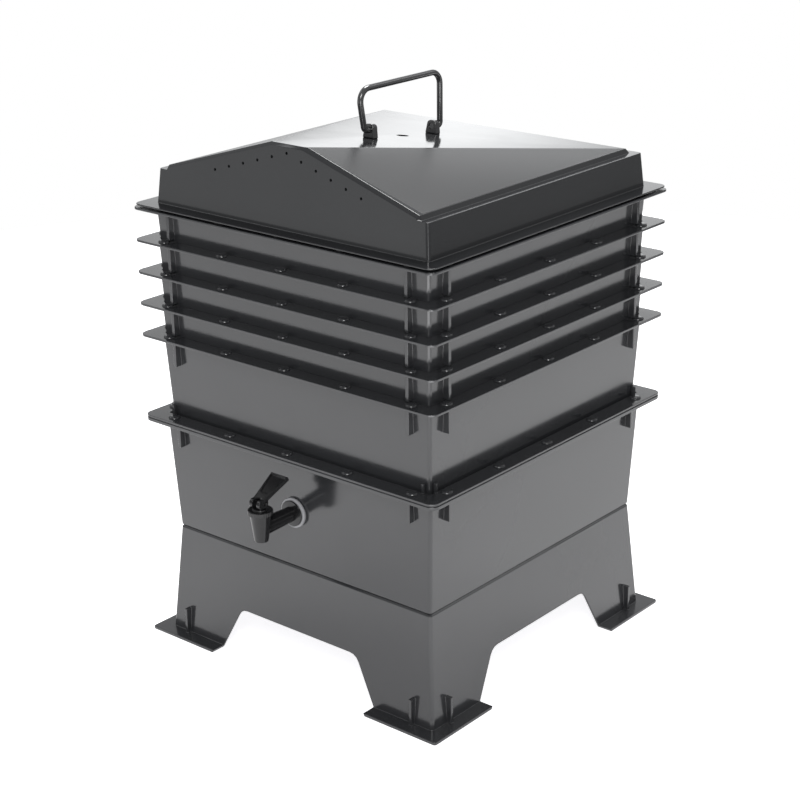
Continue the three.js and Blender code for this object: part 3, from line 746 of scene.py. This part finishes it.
def soften_side_slopes(material, roughness):
    """The finer grain of the roof's two side slopes, which spreads their gloss"""
    tree = material.node_tree
    gloss = tree.nodes["Principled BSDF"].inputs["Roughness"]
    wall_gloss = gloss.links[0].from_socket
    place = add_node(tree, "ShaderNodeTexCoord").outputs["Object"]
    x, y, z = add_node(tree, "ShaderNodeSeparateXYZ", Vector=place).outputs
    across = work_out(tree, "ABSOLUTE", x)
    fall = times(tree, across, side_slope / back_slope)
    past_hip = work_out(tree, "SUBTRACT", fall, y)
    hip = roof_edge_half * (side_slope / back_slope - 1) - middle_y
    on_roof = 1
    for value, edge in (
        (past_hip, hip), (z, step_height), (y, middle_y - lid_eave_half + 0.009)
    ):
        inside = in_range(tree, value, edge - 0.0005, edge + 0.0005)
        on_roof = times(tree, inside, on_roof)
    grain = in_range(tree, noise(tree, place, 900), 0, 1, roughness - 0.04, roughness + 0.04)
    choice = add_node(tree, "ShaderNodeMix", Factor=on_roof, A=wall_gloss, B=grain)
    tree.links.new(choice.outputs["Result"], gloss)


soften_side_slopes(lid_plastic, 0.3)


def without_bores(made):
    """Closes the plain air holes of the copied gable and the screws' plain holes in its roof"""
    form = open_form(made)
    bores = []
    for face in form.faces:
        middle = face.calc_center_median()
        if middle.z < eave_height or face.calc_area() > 0.000006:
            continue
        in_gable = middle.y < middle_y - roof_edge_half and abs(face.normal.y) < 0.02
        by_ears = 0.003 < abs(middle.x) < 0.0075 and 0.045 < abs(middle.y - middle_y) < 0.065
        if in_gable or by_ears:
            bores.append(face)
    remove_and_close(form, bores, "FACES")
    return close_form(form, made)


def finer_chamfer(made):
    """Narrows the chamfer round the gable, between its outline on the front and that behind it"""
    front = middle_y - lid_eave_half
    form = open_form(made)
    moves = {}
    for corner in form.verts:
        if abs(corner.co.y - front) > near or corner.co.z < eave_height - near:
            continue
        for edge in corner.link_edges:
            behind = edge.other_vert(corner)
            if abs(behind.co.y - front - plain_chamfer) < 2 * near:
                share = gable_chamfer / plain_chamfer
                spot = behind.co.lerp(corner.co, share)
                moves[corner] = Vector((spot.x, front, spot.z))
                forward = plain_chamfer - gable_chamfer
                on_top = abs(behind.co.x) < gable_peak_half + 0.004
                fall = plain_back_slope if on_top else 0
                moves[behind] = behind.co + Vector((0, -forward, forward * fall))
    for corner, spot in moves.items():
        corner.co = spot
    return close_form(form, made)


def settle_lid(made):
    """Brings the plain lid to its moulded form. Its flange lies lower on the nubs, its roof is a
    little flatter, and the gable leans back in one plane with the wall below it."""
    form = open_form(made)
    for corner in form.verts:
        spot = corner.co
        if spot.z < lid_foot_height + lid_flange_plate + near:
            spot.z -= lid_flange_drop
            continue
        if spot.z > step_height:
            flatter = (gable_rise - roof_step) / (plain_gable_rise - roof_step)
            spot.z = step_height + (spot.z - step_height) * flatter
        if spot.z > eave_height and spot.y < middle_y - lid_eave_half + 0.008:
            on_back_slope = abs(spot.x) < gable_peak_half + 0.004
            fall = back_slope if on_back_slope else 0
            shift = gable_lean * (spot.z - eave_height) / (1 + gable_lean * fall)
            spot.y += shift
            spot.z -= fall * shift
    join_flat_faces(form)
    return close_form(form, made)


def vent_tree():
    """A row of round pins that follows the gable's two slopes, one for each air hole"""
    tree, given, result = geometry_tree(
        "air_holes", Holes=vent_count, Pitch=vent_pitch, Radius=vent_radius, Length=0.024,
        Slope=side_slope, Middle="Vector",
    )
    spaces = work_out(tree, "SUBTRACT", given["Holes"], 1)
    row = add_node(
        tree, "GeometryNodeMeshLine", Count=given["Holes"],
        Start_Location=point_at(tree, times(tree, times(tree, spaces, given["Pitch"]), -0.5)),
        Offset=point_at(tree, given["Pitch"]),
    )
    away = work_out(tree, "ABSOLUTE", own_place(tree)["X"])
    gabled = add_node(
        tree, "GeometryNodeSetPosition", Geometry=row.outputs["Mesh"],
        Offset=point_at(tree, z=times(tree, times(tree, away, given["Slope"]), -1)),
    )
    pin = add_node(
        tree, "GeometryNodeMeshCylinder", Vertices=20, Radius=given["Radius"],
        Depth=given["Length"],
    )
    level_pin = moved(tree, pin.outputs["Mesh"], turn=(math.pi / 2, 0, 0))
    pins = copies(tree, gabled.outputs["Geometry"], level_pin)
    return end_tree(tree, given, result, moved(tree, pins, given["Middle"]))


mm = 0.001


def eased(outline, steps=3):
    """A closed outline of radius, height and ease, with each corner rounded by its ease"""
    points = []
    for spot, (radius, height, ease) in enumerate(outline):
        here = Vector((radius, height))
        if ease == 0:
            points.append(here)
            continue
        before = Vector(outline[spot - 1][:2])
        after = Vector(outline[(spot + 1) % len(outline)][:2])
        start = here + (before - here).normalized() * ease
        end = here + (after - here).normalized() * ease
        for step in range(steps + 1):
            part = step / steps
            points.append(start * (1 - part) ** 2 + here * 2 * part * (1 - part) + end * part ** 2)
    return points


def turned_form(name, outline, sides=48, shaped=None):
    """A closed form turned about the upright axis from a closed outline in millimetres, whose
    radius a function may shape by its height and turn"""
    loop = eased(outline)
    form = bmesh.new()
    rings = []
    for side in range(sides):
        turn = 2 * math.pi * side / sides
        ring = []
        for radius, height in loop:
            reach = shaped(radius, height, turn) if shaped and radius > 0 else radius
            spot = Vector((reach * math.cos(turn), reach * math.sin(turn), height))
            ring.append(form.verts.new(spot * mm))
        rings.append(ring)
    for side, ring in enumerate(rings):
        following = rings[(side + 1) % sides]
        for spot in range(len(loop)):
            ahead = (spot + 1) % len(loop)
            form.faces.new((ring[spot], following[spot], following[ahead], ring[ahead]))
    bmesh.ops.remove_doubles(form, verts=form.verts, dist=0.0000005)
    return form_piece(form, name)


def round_bar(name, radius, low, high, sides, ease=0):
    """A round bar between two heights in millimetres"""
    return turned_form(
        name, [(0, low, 0), (radius, low, ease), (radius, high, ease), (0, high, 0)], sides
    )


def slope_spot_tree():
    """Four like forms at the corners of a rectangle that lies on the back slope"""
    tree, given, result = geometry_tree(
        "slope_spots", Across=0.0092, Along=0.1062, Tilt=0.0, Middle="Vector"
    )
    spots = add_node(
        tree, "GeometryNodeMeshGrid", Vertices_X=2, Vertices_Y=2, Size_X=given["Across"],
        Size_Y=given["Along"],
    )
    forms = copies(tree, spots.outputs["Mesh"], given["Geometry"])
    laid = moved(tree, forms, given["Middle"], point_at(tree, given["Tilt"]))
    return end_tree(tree, given, result, laid)


slope_spots = slope_spot_tree()


def on_screw_places(made, finish):
    """Repeats a form at the four places of the ears' screws"""
    return run_tree(
        made, slope_spots, Along=ear_back_place - ear_front_place, Tilt=-slope_angle,
        Middle=roof_foot + roof_down * (ear_front_place + ear_back_place) / 2, Finish=finish,
    )


def screw_hole_pins():
    return on_screw_places(round_bar("screw_holes", 1.5, -7, 4.9, 20), lid_plastic)


lid_moulding = merged_copy("lid", "lid_moulding")
without_bores(lid_moulding)
finer_chamfer(lid_moulding)
settle_lid(lid_moulding)
round_flange(lid_moulding, lid_flange_half, flange_corner, lid_foot_height)
round_arrises(lid_moulding, 0.0005)
with_solid(lid_moulding, screw_hole_pins())
centre_pin = round_bar("centre_hole", centre_hole_radius, -8, 2, 40)
with_solid(lid_moulding, placed(centre_pin, roof_foot, -slope_angle))
top_vent = step_height + side_slope * roof_edge_half - vent_drop
vent_pins = grown(
    "vent_pins", vent_tree(), Middle=(0, middle_y - lid_eave_half, top_vent), Finish=lid_plastic
)
with_solid(lid_moulding, vent_pins)
dress(even_shading(lid_moulding), lid_plastic, "lid")


# Bail ears
# Two upright ears in hard black plastic on the lid's back slope. Each is held by two screws from
# inside the lid, and the bail's tips turn in their bores.
ear_plastic = moulded_plastic(
    "ear_plastic", deep=(0.016, 0.016, 0.017), pale=(0.024, 0.024, 0.026), gloss=(0.16, 0.26),
    ripple_depth=0.000004, ripple_scale=1100, ior=2,
)
swing_angle = math.atan(plain_back_slope)
swing_foot = Vector((0, middle_y, step_height + plain_back_slope * roof_edge_half))
swing_up = Vector((0, math.sin(swing_angle), math.cos(swing_angle)))
swing_down = Vector((0, math.cos(swing_angle), -math.sin(swing_angle)))
swing_bore_radius = 3.6
pivot_height = 0.0076
ear_half_length = 0.0038
ear_foot_half = 0.0082
ear_top_half = 0.0066
ear_shoulder = 0.0058
ear_height = 0.0142


def along_swing(down, up):
    """A point at a place along the bail's line of swing and a height square off its foot"""
    return swing_foot + swing_down * down + swing_up * up


def ear_block(name, place, steps=5):
    """An ear with round shoulders, whose foot lies on the roof"""
    outline = [(-ear_foot_half, 0), (ear_foot_half, 0)]
    low = ear_height - ear_shoulder
    for side in (1, -1):
        bend = []
        for step in range(steps + 1):
            part = step / steps
            x = ear_top_half - ear_shoulder * part ** 2
            up = low + ear_shoulder * (1 - (1 - part) ** 2)
            bend.append((side * x, up))
        outline += bend if side == 1 else bend[::-1]
    form = bmesh.new()
    ends = []
    for down in (place - ear_half_length, place + ear_half_length):
        end = []
        for x, up in outline:
            corner = along_swing(down, up) + Vector((x, 0, 0))
            if up == 0:
                corner.z = step_height + back_slope * (roof_edge_half + middle_y - corner.y)
                corner.z -= 0.00005
            end.append(form.verts.new(corner))
        ends.append(end)
    form.faces.new(ends[0])
    form.faces.new(ends[1][::-1])
    for spot in range(len(outline)):
        after = (spot + 1) % len(outline)
        form.faces.new((ends[0][spot], ends[1][spot], ends[1][after], ends[0][after]))
    return form_piece(form, name)


def swing_bore():
    """A round bar along the line of swing, which makes the bores for the bail's tips"""
    bore = round_bar("swing_bore", swing_bore_radius, -80, 80, 32)
    return placed(bore, along_swing(0, pivot_height), -math.pi / 2 - swing_angle)


for node, place in (("bail_ear_front", ear_front_place), ("bail_ear_back", ear_back_place)):
    made = ear_block(f"{node}_block", place)
    round_arrises(made, 0.0013, 3, 50)
    with_solid(made, swing_bore())
    with_solid(made, screw_hole_pins())
    dress(even_shading(made), ear_plastic, "lid", node)


# Ear screws
# Four zinc-plated pan-head screws for plastic. They come up through the roof from inside the lid
# and bite into the feet of the ears.
def thread_run(radius, low, high, step):
    count = round((high - low) / step)
    return [(radius, low + (high - low) * i / count, 0) for i in range(count + 1)]


def thread_dip(height, turn, pitch):
    """How deep a helical thread lies at a height and turn, from its crest at 0 to its root at 1"""
    return 0.5 - 0.5 * math.cos(2 * math.pi * (height / pitch - turn / (2 * math.pi)))


def handling_marks_group():
    """Hair-fine scratches in two directions and a broad haze, as cleaning and handling leave"""
    group, given, result = skin_group("handling_marks", Scratch_scale=900.0, Haze_scale=60.0)
    scratches = 0
    for stretch, turn in (((1, 0.05, 0.3), 0.4), ((0.06, 1, 0.4), -0.7)):
        lay = add_node(
            group, "ShaderNodeMapping", Vector=given["Place"], Rotation=(0.3, turn, turn),
            Scale=stretch,
        )
        grain = noise(group, lay.outputs["Vector"], given["Scratch scale"], 1)
        scratches = work_out(group, "MAXIMUM", in_range(group, grain, 0.62, 0.72), scratches)
    haze = noise(group, given["Place"], given["Haze scale"], 3)
    wear = work_out(group, "MULTIPLY_ADD", scratches, 0.45, haze)
    gloss = in_range(group, wear, 0.3, 1.1, given["Glossiest"], given["Dullest"])
    return end_skin(group, result, gloss, scratches, haze)


handling_marks = handling_marks_group()


def marked_finish(name, clean, worn, gloss, metal=0, ior=1.6, scratch_depth=0):
    """A hard finish between a clean and a worn shade and gloss, with its handling marks"""
    return skinned(
        name, handling_marks, (clean, worn), ior, metal, (scratch_depth, 0.5, True),
        Glossiest=gloss[0], Dullest=gloss[1],
    )


screw_steel = marked_finish(
    "screw_steel", clean=(0.58, 0.58, 0.56), worn=(0.42, 0.42, 0.41), gloss=(0.22, 0.42), metal=1,
    scratch_depth=0.000004,
)


def screw_shape(radius, height, turn):
    """The cross recess in the head and the coarse thread of the shank"""
    if height < -3 and radius < 1.6:
        return radius * (1 + 0.45 * math.cos(4 * turn))
    if -2 < height < 4.3 and radius > 1:
        return radius - 0.28 * thread_dip(height, turn, 1.1)
    return radius


ear_screws = turned_form("ear_screws", [
    (0, -3.5, 0), (0.5, -3.5, 0), (1.0, -4.5, 0), (2.6, -4.5, 1.1), (2.6, -2.5, 0.2),
    *thread_run(1.2, -2.5, 4.2, 0.28), (0.5, 4.6, 0), (0, 4.6, 0),
], 24, screw_shape)
even_shading(ear_screws, 40)
on_screw_places(ear_screws, screw_steel)
dress(ear_screws, screw_steel, "lid", [f"ear_screw_{i}" for i in range(1, 5)])


# Bail
# A wire handle of 6 mm steel, bent to shape and dipped in black plastic. Its legs lean a
# little, and its inturned tips are sprung into the bores of the ears, where it swings.
wire_radius = 0.0033
tip_back = 0.001
bail_front_reach = 0.009
bail_front_lean = 0.0085
bail_back_reach = 0.0123
bail_top_height = 0.088
bend_radii = (0.0046, 0.014, 0.014, 0.0046)


def leg_foot(from_middle):
    """The point at the bores' height where a leg stands, from its place behind the lid's middle"""
    return along_swing((from_middle - pivot_height * swing_up.y) / swing_down.y, pivot_height)


def bent_route(corners, radii, steps=10):
    """The points along a wire with straight runs and round bends"""
    route = [corners[0]]
    pull = 0.5523
    for spot, radius in enumerate(radii, 1):
        here = corners[spot]
        back = (corners[spot - 1] - here).normalized()
        on = (corners[spot + 1] - here).normalized()
        trim = radius / math.tan(back.angle(on) / 2)
        knots = (
            here + back * trim, here + back * trim * (1 - pull), here + on * trim * (1 - pull),
            here + on * trim,
        )
        for step in range(steps + 1):
            part = step / steps
            rest = 1 - part
            route.append(
                knots[0] * rest ** 3
                + knots[1] * 3 * rest ** 2 * part
                + knots[2] * 3 * rest * part ** 2
                + knots[3] * part ** 3
            )
    route.append(corners[-1])
    return route


def wire_tree():
    tree, given, result = geometry_tree("round_wire", Wire_radius=wire_radius, Sides=24)
    route = add_node(tree, "GeometryNodeMeshToCurve", Mesh=given["Geometry"])
    section = add_node(
        tree, "GeometryNodeCurvePrimitiveCircle", Resolution=given["Sides"],
        Radius=given["Wire radius"],
    )
    wire = add_node(
        tree, "GeometryNodeCurveToMesh", Curve=route.outputs["Curve"],
        Profile_Curve=section.outputs["Curve"], Fill_Caps=True,
    )
    return end_tree(tree, given, result, wire.outputs["Mesh"])


bail_coat = marked_finish(
    "bail_coat", clean=(0.034, 0.034, 0.035), worn=(0.050, 0.050, 0.052), gloss=(0.14, 0.24),
    ior=2.2, scratch_depth=0.0000005,
)
tip_reach = ear_half_length - tip_back
front_leg = ear_front_place - bail_front_reach
back_leg = ear_back_place + bail_back_reach
bail_crown = eave_height + bail_top_height
bail_route = bent_route((
    along_swing(ear_front_place + tip_reach, pivot_height), leg_foot(front_leg),
    Vector((0, middle_y + front_leg - bail_front_lean, bail_crown)),
    Vector((0, middle_y + back_leg, bail_crown)), leg_foot(back_leg),
    along_swing(ear_back_place - tip_reach, pivot_height),
), bend_radii)
route_mesh = bpy.data.meshes.new("bail_wire")
route_mesh.from_pydata(bail_route, [(i, i + 1) for i in range(len(bail_route) - 1)], [])
bail_wire = new_object("bail_wire", route_mesh)
run_tree(bail_wire, wire_tree(), Finish=bail_coat)
dress(even_shading(bail_wire, 60), bail_coat, "lid_bail")


# Tap body
# One moulding in hard black plastic: a threaded shank through the sump's wall, a shoulder that
# presses on the outer washer, a barrel with eight ribs and an upright valve chamber with a spout.
stack_to_pad = 189.627
stack_to_chamber = 241.927
washer_thickness = 3.2
shank_end = 171.027
nut_back = 175.027
nut_face = 182.027
shoulder_near = stack_to_pad + washer_thickness + 0.6
shoulder_far = shoulder_near + 2.5
barrel_rib_count = 8
tap_plastic = marked_finish(
    "tap_plastic", clean=(0.010, 0.010, 0.011), worn=(0.017, 0.017, 0.018), gloss=(0.1, 0.24),
    ior=1.54, scratch_depth=0.000002,
)


def to_front(made):
    """Lays a form that was turned upright along the tap's axis, out through the front wall"""
    return placed(made, (0, middle_y, tap_height), math.pi / 2)


def to_chamber(made):
    """Stands a form on the valve chamber's axis, with its heights from the barrel's axis"""
    return placed(made, (0, middle_y - stack_to_chamber * mm, tap_height))


def barrel_shape(radius, height, turn):
    """The helical thread on the shank and the ribs on the barrel"""
    if height < shoulder_near - 1:
        on_thread = 1 < height - shank_end and height < stack_to_pad and radius > 8.5
        return radius - 0.8 * thread_dip(height, turn, 3.2) if on_thread else radius
    if height <= shoulder_far + 0.01 or radius < 8:
        return radius
    rib_pitch = 2 * math.pi / barrel_rib_count
    from_rib = math.degrees(abs((turn / rib_pitch + 0.5) % 1 - 0.5) * rib_pitch)
    rise = min(max((8 - from_rib) / 3, 0), 1)
    return radius + 1.3 * rise * rise * (3 - 2 * rise)


tap_barrel = to_front(turned_form("tap_body_moulding", [
    (0, shank_end, 0), (8.0, shank_end, 0.5), *thread_run(9.0, shank_end + 0.9, 189.0, 0.4),
    (8.2, 189.8, 0), (8.2, shoulder_near, 0), (14.6, shoulder_near, 0.3),
    (14.6, shoulder_near + 1.6, 0.6), (8.4, shoulder_far, 0), (8.4, stack_to_chamber - 4, 0),
    (0, stack_to_chamber - 4, 0),
], 144, barrel_shape))
chamber = to_chamber(turned_form("chamber", [
    (0, -15, 0), (7.7, -15, 1.2), (11.8, 15.8, 0.7), (0, 15.8, 0)
], 72))
well = to_chamber(turned_form("well", [
    (0, -18, 0), (4.6, -18, 0), (4.6, -4, 0), (8.4, -1, 0), (8.4, 18, 0), (0, 18, 0)
], 48))
waterway = to_front(round_bar("waterway", 5, shank_end - 5, stack_to_chamber, 40))
with_solid(tap_barrel, chamber, "UNION")
with_solid(tap_barrel, well)
with_solid(tap_barrel, waterway)
dress(even_shading(tap_barrel, 36), tap_plastic, "sump", "tap_body")


# Tap washers
# Two clear silicone washers, one on each face of the sump's wall, which the tap's shoulder and
# its back nut squeeze tight.
clear_silicone = moulded_plastic(
    "clear_silicone", deep=(0.44, 0.44, 0.46), pale=(0.56, 0.56, 0.58), gloss=(0.2, 0.34),
    ripple_depth=0.00001, ripple_scale=500, ior=1.42,
)
for node, radius, low, thickness, eases in (
    ("tap_outer_washer", 17, stack_to_pad + 0.3, washer_thickness, (0.9, 1.1)),
    ("tap_inner_washer", 15, nut_face + 0.3, 3, (0.8, 0.8)),
):
    made = to_front(turned_form(f"{node}_ring", [
        (9.4, low, 0.4), (radius, low, eases[0]), (radius, low + thickness, eases[1]),
        (9.4, low + thickness, 0.4),
    ], 72))
    dress(even_shading(made, 40), clear_silicone, "sump", node)


# Tap back nut
# A moulded hexagon nut on the shank inside the sump, with its corners turned off on both faces.
nut_across_corners = 15.5


def nut_shape(radius, height, turn):
    """The six flats, below which the turned corners lie"""
    from_flat = (turn - math.pi / 6) % (math.pi / 3) - math.pi / 6
    flat = nut_across_corners * math.cos(math.pi / 6) / math.cos(from_flat)
    return min(radius, flat) if radius > 12 else radius


back_nut = to_front(turned_form("tap_back_nut_hexagon", [
    (9.4, nut_back, 0.5), (13.5, nut_back, 0), (15.5, nut_back + 1.073, 0),
    (15.5, nut_face - 1.077, 0), (13.5, nut_face, 0), (9.4, nut_face, 0.5),
], 96, nut_shape))
dress(even_shading(back_nut, 25), tap_plastic, "sump", "tap_back_nut")


# Tap bonnet
# The black cap that closes the valve chamber. Its collar is knurled for the fingers, its spigot
# plugs the chamber's well, and the stem slides through its neck.
collar_teeth = 34


def collar_shape(radius, height, turn):
    if radius < 12:
        return radius
    return radius - 0.5 * (0.5 - 0.5 * math.cos(collar_teeth * turn))


bonnet = to_chamber(turned_form("tap_bonnet_cap", [
    (2.7, 23.4, 0.3), (8.6, 23.4, 0.9), (8.6, 21.5, 0.4), (13.7, 21.5, 1.0), (13.7, 16.1, 0.6),
    (8.1, 16.1, 0), (8.1, 13.1, 0.4), (6.1, 13.1, 0.3), (6.1, 21.4, 0), (2.7, 21.4, 0),
], collar_teeth * 6, collar_shape))
dress(even_shading(bonnet, 42), tap_plastic, "sump", "tap_bonnet")


# Tap stem and pin
# The stem lifts the seat when the lever's cam bears on the bonnet. A steel pin through its flat
# head carries the lever.
stem = merged_copy("tap_stem", "tap_stem_rod")
round_arrises(stem, 0.0003, 2, 50)
dress(even_shading(stem), tap_plastic, "tap_stem")

pin_height = 29.1
lever_pin = round_bar("tap_lever_pin_steel", 1.5, -7.1, 7.1, 28, 0.5)
to_chamber(placed(lever_pin, (0, 0, pin_height * mm), math.pi / 2, "Y"))
pin_steel = marked_finish(
    "pin_steel", clean=(0.040, 0.040, 0.040), worn=(0.025, 0.025, 0.025), gloss=(0.3, 0.45),
    metal=1, scratch_depth=0.000002,
)
dress(even_shading(lever_pin, 40), pin_steel, "tap_stem", "tap_lever_pin")


# Tap seat
# A pale silicone cup on the foot of the stem, which closes the spout's bore with its cone.
seat_silicone = moulded_plastic(
    "seat_silicone", deep=(0.46, 0.45, 0.42), pale=(0.58, 0.57, 0.54), gloss=(0.4, 0.55),
    ripple_depth=0.00001, ripple_scale=500,
)
seat = to_chamber(turned_form("tap_seat_cup", [
    (0, -2.2, 0), (4.6, -2.2, 0.5), (7.2, -0.7, 0.4), (7.2, 5.3, 0.8), (2.7, 5.3, 0.4),
    (2.7, 1.7, 0), (0, 1.7, 0),
], 48))
dress(even_shading(seat, 40), seat_silicone, "tap_stem", "tap_seat")


# Tap lever
# The black lever with a dished paddle. Its two cheeks straddle the stem's head and are cams, so
# that pulling the paddle forward raises the stem.
lever = merged_copy("tap_lever", "tap_lever_paddle")
round_arrises(lever, 0.0008, 3, 50)
dress(even_shading(lever), tap_plastic, "tap_lever")


# Studio
# A round white table in a dim studio, with one wide glow low behind on the left, softer glows
# over the front and the right, and a pool of light painted into the table's glow on the
# photographer's side, which only reflections see.
table_camera_glow = 0.9
table_gloss_glow = 0.6
table_pool_glow = 2.4
table_form = bmesh.new()
bmesh.ops.create_circle(table_form, cap_ends=True, segments=96, radius=1.95)
white_table = new_piece("white_table")
close_form(table_form, white_table)
table_white = bpy.data.materials.new("table_white")
table_white.use_nodes = True
table_tree = table_white.node_tree
table_shader = table_tree.nodes["Principled BSDF"]
table_shader.inputs["Base Color"].default_value = (0.93, 0.93, 0.93, 1)
table_shader.inputs["Roughness"].default_value = 0.9
table_shader.inputs["Specular IOR Level"].default_value = 0
table_shader.inputs["Emission Color"].default_value = (0.985, 0.98, 1, 1)
toward_view = Vector((away.x, away.y, 0)).normalized()


def reach_along(tree, place, direction):
    """How far a place lies along a direction"""
    step = add_node(tree, "ShaderNodeVectorMath", {"operation": "DOT_PRODUCT"}, Vector=place)
    step.inputs[1].default_value = direction
    return step.outputs["Value"]


def table_band(direction, low, high):
    """From 0 to 1 across the table, between two distances along a direction"""
    place = add_node(table_tree, "ShaderNodeTexCoord").outputs["Object"]
    return in_range(table_tree, reach_along(table_tree, place, direction), low, high, smooth=True)


view_side = toward_view.cross(Vector((0, 0, 1)))
# Painted light: a brighter pool in the table's glow, seen only in reflections, as if a lamp lit
# the floor on the photographer's side.
pool = table_band(toward_view, 0.85, 1.15)
for side in (view_side, -view_side):
    pool = times(table_tree, pool, table_band(side, -0.75, -0.5))
table_rays = add_node(table_tree, "ShaderNodeLightPath").outputs
seen_glow = times(table_tree, table_rays["Is Camera Ray"], table_camera_glow)
pool_glow = work_out(table_tree, "MULTIPLY_ADD", pool, table_pool_glow, table_gloss_glow)
gloss_glow = times(table_tree, table_rays["Is Glossy Ray"], pool_glow)
table_glow = work_out(table_tree, "ADD", seen_glow, gloss_glow)
table_tree.links.new(table_glow, table_shader.inputs["Emission Strength"])
white_table.data.materials.append(table_white)

studio = bpy.data.worlds.new("studio")
bpy.context.scene.world = studio
studio.use_nodes = True
sky_tree = studio.node_tree
sky_tree.nodes.clear()
sky_place = add_node(sky_tree, "ShaderNodeTexCoord").outputs["Generated"]


def sky_lobe(toward, sharpness, strength):
    aim = reach_along(sky_tree, sky_place, Vector(toward).normalized())
    fall = work_out(sky_tree, "POWER", work_out(sky_tree, "MAXIMUM", aim, 0), sharpness)
    return times(sky_tree, fall, strength)


sky_level = 0.3
for toward, sharpness, strength in (
    ((-0.61, 0.78, 0.12), 40, 1.75), ((-0.3, 0.62, 0.72), 6, 0.25),
    ((-0.62, -0.77, -0.2), 14, 0.45), ((-0.70, -0.20, 0.69), 90, 2.0),
    ((0.35, 0.72, 0.60), 150, 1.6), ((0.74, -0.62, -0.18), 80, 4.0),
):
    lobe = sky_lobe(toward, sharpness, strength)
    sky_level = work_out(sky_tree, "ADD", sky_level, lobe)
sky_light = add_node(
    sky_tree, "ShaderNodeBackground", Color=(0.98, 0.99, 1, 1), Strength=sky_level
)
sky_white = add_node(sky_tree, "ShaderNodeBackground", Color=(1, 1, 1, 1))
sky_rays = add_node(sky_tree, "ShaderNodeLightPath").outputs
sky_choice = add_node(sky_tree, "ShaderNodeMixShader", Fac=sky_rays["Is Camera Ray"])
for spot, side in ((1, sky_light), (2, sky_white)):
    sky_tree.links.new(side.outputs["Background"], sky_choice.inputs[spot])
add_node(sky_tree, "ShaderNodeOutputWorld", Surface=sky_choice.outputs["Shader"])


def soft_lamp(name, place, aim, width, height, watts):
    """A square soft lamp that isn't seen itself"""
    data = bpy.data.lights.new(name, "AREA")
    data.shape = "RECTANGLE"
    data.size = width
    data.size_y = height
    data.energy = watts
    lamp = new_object(name, data)
    lamp.location = place
    lamp.rotation_mode = "QUATERNION"
    lamp.rotation_quaternion = (Vector(place) - Vector(aim)).to_track_quat("Z", "Y")
    lamp.visible_camera = False
    return lamp


soft_lamp("shoulder_lamp", (1.9, -2.3, 2.4), (0, 0, 0.2), 1.2, 1.2, 40)
soft_lamp("overhead_lamp", (-0.4, 1.0, 2.9), (0, 0, 0.2), 1.4, 1.2, 52)

bpy.context.scene.view_settings.view_transform = "Standard"
